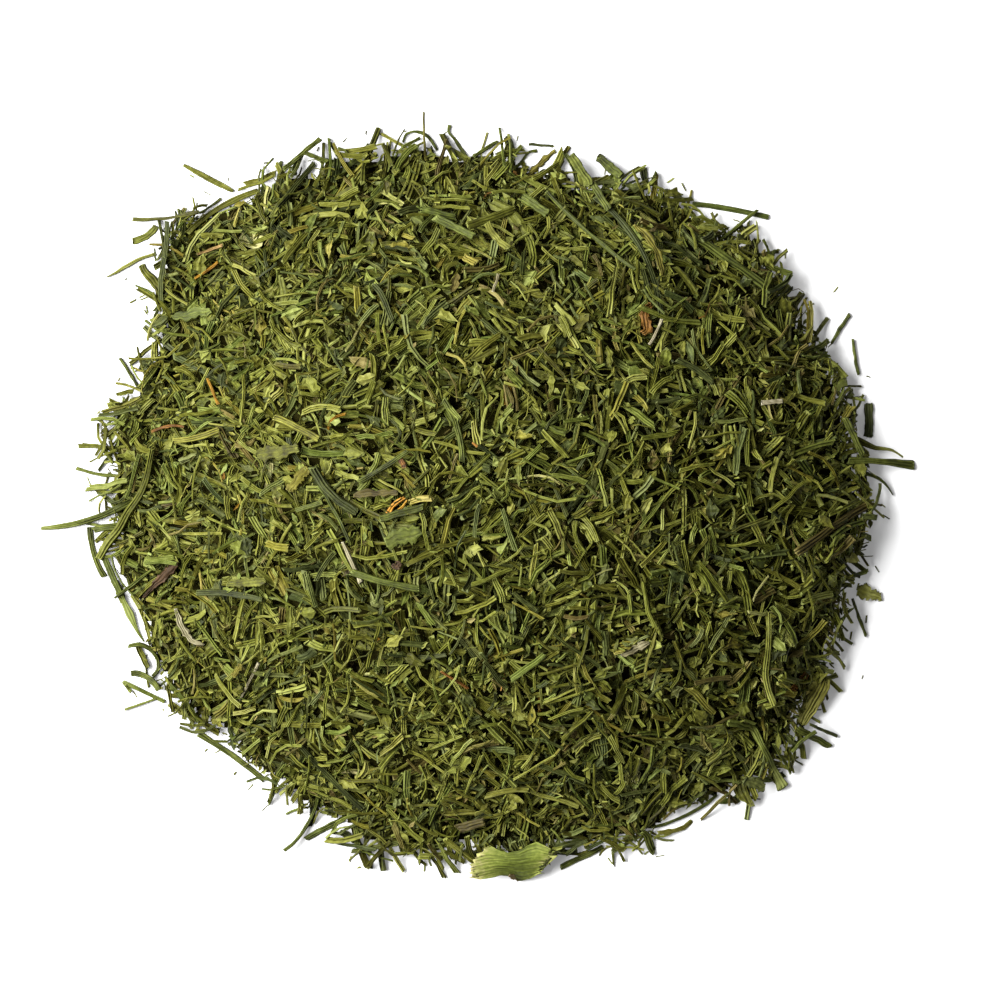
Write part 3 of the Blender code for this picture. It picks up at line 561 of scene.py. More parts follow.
def node_arrays(node):
    """The corner points and triangles of a CAD node as arrays."""
    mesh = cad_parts[node].data
    points = np.empty(len(mesh.vertices) * 3)
    mesh.vertices.foreach_get("co", points)
    triangles = np.empty(len(mesh.polygons) * 3, dtype=int)
    mesh.polygons.foreach_get("vertices", triangles)
    return points.reshape(-1, 3), triangles.reshape(-1, 3)


def node_tree(node):
    """A search tree of a CAD node's faces."""
    points, triangles = node_arrays(node)
    return BVHTree.FromPolygons(points.tolist(), triangles.tolist())


def heights_at(tree, x, y):
    """The lowest and highest point of a search tree's faces over one point of the plan, or None."""
    under = tree.ray_cast(Vector((x, y, -1)), UP)[0]
    if under is None:
        return None
    over = tree.ray_cast(Vector((x, y, 1)), -UP)[0]
    return under.z, over.z


class Bed:
    """The heap's surface as grids of heights: what is laid, where it should end, and what hangs over it."""

    def __init__(self):
        low, high = cad_box
        self.x0 = low.x - MARGIN
        self.y0 = low.y - MARGIN
        self.columns = int((high.x - low.x + 2 * MARGIN) / CELL)
        self.rows = int((high.y - low.y + 2 * MARGIN) / CELL)
        x = self.x0 + (np.arange(self.columns) + 0.5)[None, :] * CELL
        y = self.y0 + (np.arange(self.rows) + 0.5)[:, None] * CELL
        reach = outline_reach(x, y)
        inside = np.clip(reach / RIM_RAMP, 0, 1)
        self.target = np.maximum(self.probe_heap() + TARGET_OFFSET, RIM_LAYER * inside * (2 - inside))
        self.target[inside <= 0] = 0
        self.ground = np.where(reach > GROUND_EDGE, GROUND_DEPTH, 0)
        self.base = np.maximum(self.target - BED_DEPTH, self.ground)
        self.heights = self.base.copy()
        self.ceiling = np.full((self.rows, self.columns), 1.0)

    def probe_heap(self):
        """The CAD heap's top surface, probed on a coarse grid, smoothed and drawn out to the fine one."""
        tree = node_tree("heap")
        ratio = PROBE_CELL / CELL
        columns = int(self.columns / ratio) + 2
        rows = int(self.rows / ratio) + 2
        coarse = np.zeros((rows, columns))
        for row in range(rows):
            for column in range(columns):
                spot = Vector((self.x0 + column * PROBE_CELL, self.y0 + row * PROBE_CELL, 1))
                hit = tree.ray_cast(spot, -UP)[0]
                if hit:
                    coarse[row, column] = hit.z
        coarse = smooth_rounds(coarse, SMOOTHING_ROUNDS)
        across = np.arange(self.columns) / ratio
        up = np.arange(self.rows) / ratio
        left = across.astype(int)
        below = up.astype(int)
        part_x = (across - left)[None, :]
        part_y = (up - below)[:, None]
        near = coarse[below][:, left] * (1 - part_x) + coarse[below][:, left + 1] * part_x
        far = coarse[below + 1][:, left] * (1 - part_x) + coarse[below + 1][:, left + 1] * part_x
        return near * (1 - part_y) + far * part_y

    def cells(self, x, y):
        """The rows and columns of points in plan."""
        rows = ((y - self.y0) / CELL).astype(int)
        columns = ((x - self.x0) / CELL).astype(int)
        return np.clip(rows, 0, self.rows - 1), np.clip(columns, 0, self.columns - 1)

    def shadow(self, node):
        """Every cell under a loose cutting, with the cutting's lowest and highest point there."""
        tree = node_tree(node)
        low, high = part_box(node)
        rows, columns = self.cells(np.array([low[0], high[0]]), np.array([low[1], high[1]]))
        found = []
        for row in range(rows[0], rows[1] + 1):
            for column in range(columns[0], columns[1] + 1):
                heights = heights_at(tree, self.x0 + (column + 0.5) * CELL, self.y0 + (row + 0.5) * CELL)
                if heights:
                    found.append((row, column, *heights))
        found = np.array(found)
        return found[:, 0].astype(int), found[:, 1].astype(int), found[:, 2], found[:, 3]

    def hang(self, shadow):
        """Keep flakes below a loose cutting, and raise the target there so that they come up to it."""
        rows, columns, bottoms, _ = shadow
        self.ceiling[rows, columns] = np.minimum(self.ceiling[rows, columns], bottoms - UNDERSIDE_GAP)
        near = bottoms - self.target[rows, columns] < MOST_FILL
        near &= self.target[rows, columns] > 0
        self.target[rows[near], columns[near]] = bottoms[near]

    def spread_support(self):
        """Let the target fall away evenly from where it was raised, like a pile's sides."""
        for _ in range(SUPPORT_ROUNDS):
            for axis in (0, 1):
                for step in (-1, 1):
                    lowered = np.roll(self.target, step, axis) - SUPPORT_SLOPE * CELL
                    lowered[self.target == 0] = 0
                    self.target = np.maximum(self.target, lowered)

    def cover(self, shadow, open_cells):
        """Raise the surface to a loose cutting's top, and keep later flakes off all but its open cells."""
        rows, columns, _, tops = shadow
        self.heights[rows, columns] = np.maximum(self.heights[rows, columns], tops)
        self.ceiling[rows, columns] = np.where(open_cells, 1, 0)

    def footprint(self, x, y, heading, along, across):
        """The rows and columns of points at distances along and across a heading from one point."""
        cosine = math.cos(heading)
        sine = math.sin(heading)
        return self.cells(x + along * cosine - across * sine, y + along * sine + across * cosine)

    def shut(self, x, y, heading, length, width):
        """Keep later flakes off a footprint."""
        rows, columns = self.footprint(x, y, heading, FILL_ALONG * length, FILL_ACROSS * width)
        self.ceiling[rows, columns] = 0

    def low_spots(self, rng, count):
        """Random places where the surface still lies under its target, the lowest ones most often."""
        lack = self.target - self.heights
        lack[self.target < LEAST_TARGET] = 0
        cells = np.flatnonzero(lack > 0)
        weights = lack.ravel()[cells] / (self.target.ravel()[cells] + RIM_LAYER)
        chosen = rng.choice(cells, count, p=weights / weights.sum())
        rows, columns = np.divmod(chosen, self.columns)
        x = self.x0 + (columns + rng.random(count)) * CELL
        y = self.y0 + (rows + rng.random(count)) * CELL
        return np.column_stack((x, y))

    def rest(self, x, y, heading, length, width):
        """The level and rise at which a flake rests, and its least room.

        Of all lines over one support on either side of its middle, the one that is highest there counts.
        """
        along = np.linspace(-length / 2, length / 2, ALONG_SAMPLES)
        across = np.array((-width / 2, 0, width / 2))[:, None]
        rows, columns = self.footprint(x, y, heading, along, across)
        supports = self.heights[rows, columns].max(axis=0)
        half = ALONG_SAMPLES // 2
        left = supports[:half, None]
        right = supports[None, half + 1 :]
        left_at = along[:half, None]
        right_at = along[None, half + 1 :]
        levels = (left * right_at - right * left_at) / (right_at - left_at)
        best = levels.argmax()
        i, j = divmod(best, half)
        rise = (right[0, j] - left[i, 0]) / (right_at[0, j] - left_at[i, 0])
        level = max(levels[i, j], supports[half])
        room = self.ceiling[rows, columns].min(axis=0) - level - rise * along
        return level, rise, room.min()

    def lay(self, x, y, heading, length, width, level, rise):
        """Raise the surface under a flake to the flake's top."""
        along = FILL_ALONG * length
        rows, columns = self.footprint(x, y, heading, along, FILL_ACROSS * width)
        self.heights[rows, columns] = np.maximum(self.heights[rows, columns], level + rise * along)


def draw_flakes(rng, count, wanted):
    """Each flake's sort, one of those wanted, its tone, and its length, width and depth."""
    names = list(SORTS)
    shares = np.array([SORTS[name]["share"] * (name in wanted) for name in names])
    sorts = rng.choice(len(names), count, p=shares / shares.sum())
    sizes = np.empty((count, 3))
    for index, name in enumerate(names):
        chosen = sorts == index
        number = int(chosen.sum())
        short, long = SORTS[name]["length"]
        lengths = short + (long - short) * rng.beta(*LENGTH_SPREAD, number)
        widths = rng.uniform(*SORTS[name]["width"], number)
        depths = widths * rng.uniform(*SORTS[name]["depth"], number)
        sizes[chosen] = np.column_stack((lengths, widths, depths))
    shares = np.array(list(FLAKE_TONES.values()))
    tones = rng.choice(len(FLAKE_TONES), count, p=shares / shares.sum())
    return sorts, tones, sizes


def lay_flakes(bed, rng, count, wanted, grip=1.0):
    """Lay flakes one after another where the heap is still too low; some lie close beside the one before.

    Only the share of a flake's length and width that grip gives has to find support and room.
    """
    sorts, tones, sizes = draw_flakes(rng, count, wanted)
    twins = rng.random(count) < TWIN_SHARE
    drifting = rng.random(count) < DRIFT_SHARE
    strays = rng.normal(0, 1, count)
    free_headings = rng.uniform(0, 2 * math.pi, count)
    names = list(SORTS)
    places = []
    kinds = []
    before = None
    for number in range(count):
        step = number % BATCH
        if step == 0:
            spots = bed.low_spots(rng, BATCH)
            drifts = drift(spots[:, 0], spots[:, 1])
        x, y = spots[step]
        length, width, depth = sizes[number]
        heading = free_headings[number]
        sort = sorts[number]
        tone = tones[number]
        if twins[number] and before is not None:
            offset = (before["width"] + width) / 2
            x = before["x"] - math.sin(before["heading"]) * offset
            y = before["y"] + math.cos(before["heading"]) * offset
            heading = before["heading"] + TWIN_STRAY * strays[number]
            spread = TWIN_SPREAD * free_headings[number] / (2 * math.pi)
            length = before["length"] * (TWIN_SHORTEST + spread)
            sort = before["sort"]
            tone = before["tone"]
        elif drifting[number]:
            heading = drifts[step] + DRIFT_STRAY * strays[number]
        level, rise, room = bed.rest(x, y, heading, length * grip, width * grip)
        level -= SINK * depth
        row, column = bed.cells(np.array(x), np.array(y))
        over = level + depth - bed.target[row, column]
        stray_bit = names[sort] in SMALL_SORTS and bed.target[row, column] < RIM_LAYER
        if stray_bit or abs(rise) > MOST_SLOPE or room < depth * (1 - SINK) or over > OVERSHOOT:
            before = None
            continue
        level = max(level, abs(rise) * length / 2)
        bed.lay(x, y, heading, length * grip, width * grip, level + depth, rise)
        places.append((x, y, level, heading, rise, length, width, depth))
        kinds.append((sort, tone))
        before = None
        if names[sort] in TWIN_SORTS:
            before = {"x": x, "y": y, "heading": heading, "width": width, "length": length}
            before.update(sort=sort, tone=tone)
    return np.array(kinds), np.array(places)


def prism_triangles(stations, sides):
    """Triangles of one prism of several stations, closed by a fan at each end."""
    side = np.arange(sides)
    following = (side + 1) % sides
    near = np.arange(stations - 1)[:, None] * sides
    far = near + sides
    first = np.stack((near + side, near + following, far + following), axis=2)
    second = np.stack((near + side, far + following, far + side), axis=2)
    fan = np.arange(1, sides - 1)
    last = (stations - 1) * sides
    start = np.column_stack((np.zeros_like(fan), fan + 1, fan))
    finish = np.column_stack((np.full_like(fan, last), last + fan, last + fan + 1))
    return np.concatenate((first.reshape(-1, 3), second.reshape(-1, 3), start, finish))


def torn_sides(rng, section, outline, count):
    """How wide a torn flake is at each station: a random share of an outline for either side."""
    left = outline * rng.uniform(*TORN_WIDTHS, (count, len(outline)))
    right = outline * rng.uniform(*TORN_WIDTHS, (count, len(outline)))
    return np.where(section[:, 0] > 0, left[:, :, None], right[:, :, None])


def fields(points, *values):
    """Three values at every point, each given for all points or for a part of them."""
    filled = np.empty_like(points)
    for index, value in enumerate(values):
        filled[..., index] = value
    return filled


def flake_arrays(sort, places, rng):
    """Points, triangles, grain and tint of many flakes of one sort.

    A flake is its section carried along a line, which is bent to a side by a parabola and turns on the way.
    Its ribs stray from the section by chance, more so in height, and each end is cut or torn askew.
    """
    section = np.array(SECTIONS[sort]).T
    stations = STATIONS[sort]
    sides = len(section)
    count = len(places)
    x, y, level, heading, rise, length, width, depth = places.T
    width = width[:, None, None]
    depth = depth[:, None, None]
    share = np.linspace(-0.5, 0.5, stations)
    bow = 1 - 4 * share**2
    forward = np.column_stack((np.cos(heading), np.sin(heading), rise))
    forward /= np.linalg.norm(forward, axis=1)[:, None]
    side = np.column_stack((-np.sin(heading), np.cos(heading), np.zeros(count)))
    up = np.cross(forward, side)
    bend = (rng.normal(0, BENDS[sort], count) * length)[:, None, None] * bow[:, None]
    bend = bend + rng.normal(0, BENDS[sort] * KINK_SHARE, (count, stations, 1)) * length[:, None, None]
    lift = (rng.uniform(*LIFT, count) * length)[:, None, None] * bow[:, None]
    taper = 1 - rng.uniform(0, TAPER, (count, 1, 1)) * (share + 0.5)[:, None]
    taper = taper * (1 + rng.normal(0, SWELL, (count, stations, 1)))
    if sort in TORN_SORTS:
        taper = torn_sides(rng, section, TORN_TIP + TORN_SWELL * np.sqrt(bow), count)
    roll = rng.normal(0, ROLL, (count, 1, 1)) + rng.normal(0, TWIST, (count, 1, 1)) * share[:, None]
    inner = np.abs(section[:, 0]) < RIB_EDGE
    ribs = section[:, 0] + rng.normal(0, RIB_STRAY, (count, 1, sides)) * inner
    rise_of_ribs = 1 + rng.normal(0, RIB_RISE, (count, 1, sides))
    rise_of_ribs = section[:, 1] * (rise_of_ribs + rng.normal(0, RIB_RISE, (count, stations, sides)))
    across = ribs * width / 2 * taper
    height = rise_of_ribs * depth
    if sort in TORN_SORTS:
        height = height + rng.uniform(*CUPPING, (count, 1, 1)) * across**2 / (width / 2)
        height = height + rng.normal(0, BUCKLING, (count, stations, 1)) * depth
    along = share[:, None] * length[:, None, None] * np.ones((1, 1, sides))
    tear = rng.normal(0, TEAR, (count, 2, sides)) + rng.normal(0, SKEW, (count, 2, 1)) * section[:, 0]
    along[:, [0, -1]] += tear * width
    turned_across = across * np.cos(roll) - (height - depth / 2) * np.sin(roll) + bend
    turned_height = across * np.sin(roll) + (height - depth / 2) * np.cos(roll) + depth / 2 + lift
    points = np.column_stack((x, y, level))[:, None, None, :] + along[..., None] * forward[:, None, None, :]
    points = points + turned_across[..., None] * side[:, None, None, :]
    points = points + turned_height[..., None] * up[:, None, None, :]
    points[..., 2] = np.maximum(points[..., 2], LOWEST)
    grain = fields(points, ribs * width / FIBRE_SPAN, share[:, None] + 0.5, rng.random((count, 1, 1)))
    shade = rng.beta(*SHADE_SPREAD, (count, 1, 1)) + rng.normal(0, SHADE_STRAY, (count, stations, 1))
    # The third tint value is each point's height in its section; the finish paints shade where it is low
    tint = fields(points, shade, rng.normal(*CAST, (count, 1, 1)), np.clip(rise_of_ribs, 0, 1))
    triangles = prism_triangles(stations, sides)
    triangles = triangles[None] + (np.arange(count) * stations * sides)[:, None, None]
    return points.reshape(-1, 3), triangles.reshape(-1, 3), grain.reshape(-1, 3), tint.reshape(-1, 3)


def join_arrays(parts):
    """Join several sets of points, triangles, grain and tint into one."""
    points, triangles, grain, tint = zip(*parts)
    starts = np.cumsum([0] + [len(some) for some in points[:-1]])
    triangles = [some + start for some, start in zip(triangles, starts)]
    return tuple(np.concatenate(some) for some in (points, triangles, grain, tint))


def add_object(name, data):
    """A new object in the scene that holds the data."""
    item = bpy.data.objects.new(name, data)
    bpy.context.scene.collection.objects.link(item)
    return item


def make_piece(name, arrays, finish, smooth=False):
    """A mesh object from points and triangles, with the grain and tint attributes that its finish reads."""
    points, triangles, grain, tint = arrays
    mesh = bpy.data.meshes.new(name)
    mesh.vertices.add(len(points))
    mesh.vertices.foreach_set("co", points.astype(np.float32).ravel())
    mesh.loops.add(triangles.size)
    mesh.loops.foreach_set("vertex_index", triangles.astype(np.int32).ravel())
    mesh.polygons.add(len(triangles))
    mesh.polygons.foreach_set("loop_start", np.arange(0, triangles.size, 3, dtype=np.int32))
    mesh.update(calc_edges=True)
    for field, values in (("grain", grain), ("tint", tint)):
        attribute = mesh.attributes.new(field, "FLOAT_VECTOR", "POINT")
        attribute.data.foreach_set("vector", values.astype(np.float32).ravel())
    mesh.polygons.foreach_set("use_smooth", np.full(len(triangles), smooth))
    mesh.materials.append(finish)
    item = add_object(name, mesh)
    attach(item, "root")
    return item


def make_flakes(name, kinds, places, rng, finishes):
    """The laid flakes as meshes, by tone, each of a limited number of flakes."""
    for tone_index, tone in enumerate(FLAKE_TONES):
        chosen = np.flatnonzero(kinds[:, 1] == tone_index)
        for start in range(0, len(chosen), PIECE_LIMIT):
            some = chosen[start : start + PIECE_LIMIT]
            parts = []
            for sort_index, sort in enumerate(SORTS):
                same = some[kinds[some, 0] == sort_index]
                if len(same):
                    parts.append(flake_arrays(sort, places[same], rng))
            title = f"{name}_{tone}_{start // PIECE_LIMIT + 1}"
            make_piece(title, join_arrays(parts), finishes[tone])


class Nodes:
    """A short way to add shader nodes and join them."""

    def __init__(self, name):
        self.material = bpy.data.materials.new(name)
        self.material.use_nodes = True
        self.tree = self.material.node_tree
        self.shader = self.tree.nodes["Principled BSDF"]

    def add(self, kind, inputs=(), **settings):
        """Add a node, set its fields, and set or link its inputs by name or number."""
        node = self.tree.nodes.new(kind)
        for key, value in settings.items():
            setattr(node, key, value)
        for key, value in dict(inputs).items():
            if isinstance(value, bpy.types.NodeSocket):
                self.tree.links.new(value, node.inputs[key])
            else:
                node.inputs[key].default_value = value
        return node

    def maths(self, operation, first, second=0.0, third=0.0):
        """One arithmetic step on two or three values."""
        node = self.add("ShaderNodeMath", {0: first, 1: second, 2: third}, operation=operation)
        return node.outputs[0]

    def mix(self, factor, first, second, blend="MIX"):
        """Mix two colours."""
        inputs = {0: factor, 6: first, 7: second}
        return self.add("ShaderNodeMix", inputs, data_type="RGBA", blend_type=blend).outputs[2]

    def parts(self, vector):
        """The three parts of a vector."""
        return self.add("ShaderNodeSeparateXYZ", {0: vector}).outputs

    def attribute(self, name):
        """The three parts of a vector that the mesh holds."""
        return self.parts(self.add("ShaderNodeAttribute", attribute_name=name).outputs["Vector"])

    def noise(self, vector, scale, detail=3.0):
        """Noise between 0 and 1."""
        inputs = {"Vector": vector, "Scale": scale, "Detail": detail}
        return self.add("ShaderNodeTexNoise", inputs).outputs["Fac"]

    def link(self, output, name):
        """Link an output to the shader's input of that name."""
        self.tree.links.new(output, self.shader.inputs[name])

    def fix(self, values):
        """Give the shader's own inputs constant values by name."""
        for name, value in values.items():
            self.shader.inputs[name].default_value = value

    def herb_colour(self, colour):
        """Link a colour, darkened as all the herb is, as the base colour."""
        self.link(self.mix(1.0, colour, HERB_SHARE, "MULTIPLY"), "Base Color")

    def bump(self, height, strengths):
        """Let a height tilt the shader's normals."""
        node = self.add("ShaderNodeBump", {**strengths, "Height": height})
        self.link(node.outputs[0], "Normal")


def herb_finish(name, tones, groove_shade):
    """Dried herb: a ramp of tones, fibres along each cutting, painted shade in the grooves, patches, and
    paler cut ends.
    """
    nodes = Nodes(name)
    place = nodes.add("ShaderNodeTexCoord").outputs["Object"]
    across, along, seed = nodes.attribute("grain")
    shade, cast, crest = nodes.attribute("tint")
    run = {}
    for index, value in enumerate((across, along, seed)):
        run[index] = nodes.maths("MULTIPLY", value, GRAIN_SCALES[index])
    fibres = nodes.noise(nodes.add("ShaderNodeCombineXYZ", run).outputs[0], 1.0, FIBRE_DETAIL)
    patches = nodes.noise(place, PATCH_SCALE)
    tone = TONE_START
    for value, weight in ((shade, SHADE_WEIGHT), (fibres, FIBRE_WEIGHT), (patches, PATCH_WEIGHT)):
        tone = nodes.maths("MULTIPLY_ADD", value, weight, tone)
    ramp = nodes.add("ShaderNodeValToRGB", {0: tone})
    ramp.color_ramp.elements[0].position = 0.0
    ramp.color_ramp.elements[0].color = tones[0]
    ramp.color_ramp.elements[1].position = 1.0
    ramp.color_ramp.elements[1].color = tones[3]
    for stop, colour in zip(TONE_STOPS, tones[1:3]):
        ramp.color_ramp.elements.new(stop).color = colour
    hue = nodes.maths("MULTIPLY_ADD", cast, HUE_SWING, HUE_MIDDLE)
    turned = nodes.add("ShaderNodeHueSaturation", {"Hue": hue, "Color": ramp.outputs[0]}).outputs[0]
    # Painted shade: the lower a point stands in its section, the more its colour is darkened towards the
    # brownish shade colour, in grooves and on undersides alike
    painted_shade = nodes.maths("ADD", patches, groove_shade - 0.5)
    depth = nodes.maths("MULTIPLY", nodes.maths("SUBTRACT", 1.0, crest), painted_shade)
    colour = nodes.mix(depth, turned, GROOVE_SHADE_COLOUR, "MULTIPLY")
    end = nodes.maths("ABSOLUTE", nodes.maths("MULTIPLY_ADD", along, 2.0, -1.0))
    end = nodes.maths("GREATER_THAN", end, END_START)
    colour = nodes.mix(nodes.maths("MULTIPLY", end, END_PALENESS), colour, tones[3])
    nodes.herb_colour(colour)
    nodes.link(nodes.maths("MULTIPLY_ADD", fibres, ROUGHNESS_SWING, ROUGHNESS), "Roughness")
    nodes.bump(nodes.maths("MULTIPLY_ADD", patches, PATCH_RELIEF, fibres), HERB_BUMP)
    nodes.fix({"Specular IOR Level": HERB_SPECULAR})
    return nodes.material


def painted_shade_core_finish():
    """Painted shade: the near-black inside of the heap that shows between the flakes, for the shade deep in
    the heap.
    """
    nodes = Nodes("heap_core_painted_shade")
    place = nodes.add("ShaderNodeTexCoord").outputs["Object"]
    noise = nodes.noise(place, CORE_SCALE)
    nodes.herb_colour(nodes.mix(noise, *CORE_SHADE_TONES))
    nodes.bump(noise, CORE_BUMP)
    nodes.fix({"Roughness": CORE_ROUGHNESS, "Specular IOR Level": 0.0})
    return nodes.material


def edges_of(triangles):
    """The three edges of every triangle."""
    return np.concatenate((triangles[:, [0, 1]], triangles[:, [1, 2]], triangles[:, [2, 0]]))


def make_shade_core(bed):
    """A mound of painted shade under the flakes: every few cells of the bed as a grid of points, closed
    underneath.
    """
    top = np.maximum(bed.base - CORE_DEPTH, bed.ground)[::CORE_STEP, ::CORE_STEP]
    inside = top > 0
    index = np.full(top.shape, -1)
    index[inside] = np.arange(inside.sum())
    row, column = np.nonzero(inside)
    x = bed.x0 + (column * CORE_STEP + 0.5) * CELL
    y = bed.y0 + (row * CORE_STEP + 0.5) * CELL
    upper = np.column_stack((x, y, top[inside]))
    lower = np.column_stack((x, y, np.full(len(upper), LOWEST)))
    corners = (index[:-1, :-1], index[:-1, 1:], index[1:, 1:], index[1:, :-1])
    whole = np.minimum.reduce(corners) >= 0
    a, b, c, d = (corner[whole] for corner in corners)
    lids = np.concatenate((np.column_stack((a, b, c)), np.column_stack((a, c, d))))
    count = len(upper)
    edges = edges_of(lids)
    codes = edges[:, 0] * count + edges[:, 1]
    partners = edges[:, 1] * count + edges[:, 0]
    rim = edges[~np.isin(codes, partners)]
    wall = np.column_stack((rim[:, 1], rim[:, 0], rim[:, 0] + count))
    far_wall = np.column_stack((rim[:, 1], rim[:, 0] + count, rim[:, 1] + count))
    triangles = np.concatenate((lids, lids[:, ::-1] + count, wall, far_wall))
    points = np.concatenate((upper, lower))
    used, triangles = np.unique(triangles, return_inverse=True)
    points = points[used]
    blank = np.zeros_like(points)
    arrays = (points, triangles.reshape(-1, 3), blank, blank)
    item = make_piece("heap_core_painted_shade", arrays, painted_shade_core_finish(), True)
    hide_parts("heap")


def walked_along(line):
    """How far along a line each of its points is, as a share of its length."""
    steps = np.linalg.norm(np.diff(line, axis=0), axis=1)
    return np.concatenate(((0,), np.cumsum(steps))) / steps.sum()


def points_at(share, walked, line):
    """The points of a line in plan at shares of its length."""
    return np.column_stack([np.interp(share, walked, line[:, axis]) for axis in (0, 1)])


def curve_of(points, triangles):
    """The middle line of a loose cutting in plan from its outer end inwards, and its half width along it.

    The line is a cubic in the share of its length. It is fitted to points along all the mesh's edges,
    whose shares are guessed from their place along the longest direction and then found anew from each fit.
    """
    edges = edges_of(triangles)
    ways = np.linspace(0, 1, EDGE_SAMPLES)[:, None, None]
    plan = (points[edges[:, 0]] * (1 - ways) + points[edges[:, 1]] * ways).reshape(-1, 3)[:, :2]
    middle = plan.mean(axis=0)
    longest = np.linalg.svd(plan - middle, full_matrices=False)[2][0]
    share = (plan - middle) @ longest
    share = (share - share.min()) / np.ptp(share)
    fine = np.linspace(0, 1, CURVE_STEPS)
    for _ in range(CURVE_ROUNDS):
        factors = np.linalg.lstsq(share[:, None] ** CURVE_POWERS, plan, rcond=None)[0]
        line = fine[:, None] ** CURVE_POWERS @ factors
        walked = walked_along(line)
        gaps = np.linalg.norm(plan[:, None] - line[None], axis=2)
        nearest = gaps.argmin(axis=1)
        share = walked[nearest]
    if np.hypot(*line[0]) < np.hypot(*line[-1]):
        line = line[::-1]
        walked = 1 - walked[::-1]
        share = 1 - share
    half_width = gaps.min(axis=1)
    bins = np.minimum((share * WIDTH_BINS).astype(int), WIDTH_BINS - 1)
    widest = np.zeros(WIDTH_BINS)
    np.maximum.at(widest, bins, half_width)
    return line, walked, widest


def fork_curve(start, finish, width):
    """One arm of a forked twig as a straight middle line, with its half width along it."""
    walked = np.linspace(0, 1, CURVE_STEPS)
    line = np.array(start) * MM + walked[:, None] * (np.array(finish) - np.array(start)) * MM
    return line, walked, np.full(WIDTH_BINS, width * MM / 2)


def pixel_curve(spots):
    """A middle line through a few points of the photo, evenly spaced and rounded at its corners."""
    spots = at_pixel(spots)
    fine = np.linspace(0, 1, CURVE_STEPS)
    line = points_at(fine, walked_along(spots), spots)
    for _ in range(LINE_ROUNDS):
        line[1:-1] = (line[:-2] + line[1:-1] + line[2:]) / 3
    return line, fine, np.zeros(WIDTH_BINS)


def frame_along(centre):
    """The forward and sideways directions in plan at each point of a line."""
    forward = np.gradient(centre, axis=0)
    forward /= np.linalg.norm(forward, axis=1)[:, None]
    return forward, np.column_stack((-forward[:, 1], forward[:, 0]))


def profile_along(values, share):
    """A row of values spaced evenly from one end to the other, read at shares of the length."""
    return np.interp(share, np.linspace(0, 1, len(values)), values)


def drawn_arrays(centre, half_width, bottom, tilt, thickness, style, shades, rng):
    """A cutting as its ridged section carried along a line in plan.

    The top is a wave of so many ridges, which stray sideways and fade on the way, on a crown that falls off
    towards the sides; the underside is flat. The sides waver, and both ends are torn askew.
    """
    stations = len(centre)
    share = np.linspace(0, 1, stations)
    forward, side = frame_along(centre)
    top_across = np.linspace(1, -1, SECTION_POINTS)
    stray = smooth_noise(rng, (stations, 1), WAVE_STRAY) + rng.uniform(-WAVE_STRAY, WAVE_STRAY)
    wave = WAVE_MIDDLE - WAVE_SWING * np.cos((top_across + 1) * math.pi * style["ridges"] + stray)
    wave = wave + rng.uniform(-RIDGE_STRAY, RIDGE_STRAY, SECTION_POINTS)
    fade = smooth_noise(rng, (stations, SECTION_POINTS), FADE_SWING)
    fade = np.clip(FADE_MIDDLE + fade, *FADE_RANGE)
    relief = style["relief"] * fade
    top = (1 - style["crown"] * top_across**2) * (1 - relief + relief * wave)
    across = np.concatenate((top_across, UNDERSIDE))
    flat = np.zeros((stations, len(UNDERSIDE)))
    up = np.concatenate((top, flat), axis=1)
    # crest: how high a point stands on the ridged top, 0 on the underside; the finish paints shade where it
    # is low
    crest = np.concatenate((1 - fade * (1 - wave), flat), axis=1)
    half_width = half_width * (1 + smooth_noise(rng, (stations,), style["waver"]))
    shift = smooth_noise(rng, (stations,), style["waver"]) * half_width
    left = torn_edge(rng, stations, style["torn"])
    right = torn_edge(rng, stations, style["torn"])
    turn = half_width[:, None] * across * np.where(across > 0, left, right)
    plan = centre[:, None] + side[:, None] * (turn + shift[:, None])[..., None]
    tear = rng.normal(0, LOOSE_TEAR, (2, len(across))) + rng.normal(0, LOOSE_SKEW, (2, 1)) * across
    plan[[0, -1]] += forward[[0, -1], None] * (tear * half_width[[0, -1], None])[..., None]
    curl = smooth_noise(rng, (stations, 1), style["curl"]) * across**2
    level = bottom[:, None] + tilt * across + (up + curl) * thickness
    solid = np.concatenate((plan, np.maximum(level, LOWEST)[..., None]), axis=2)
    grain = fields(solid, across * half_width[:, None] * 2 / FIBRE_SPAN, share[:, None], rng.random())
    shade = profile_along(shades, share) + smooth_noise(rng, (stations,), LOOSE_SHADE_STRAY)
    tint = fields(solid, shade[:, None], rng.normal(*LOOSE_CAST), np.clip(crest, 0, 1))
    triangles = prism_triangles(stations, len(across))
    return solid.reshape(-1, 3), triangles, grain.reshape(-1, 3), tint.reshape(-1, 3)


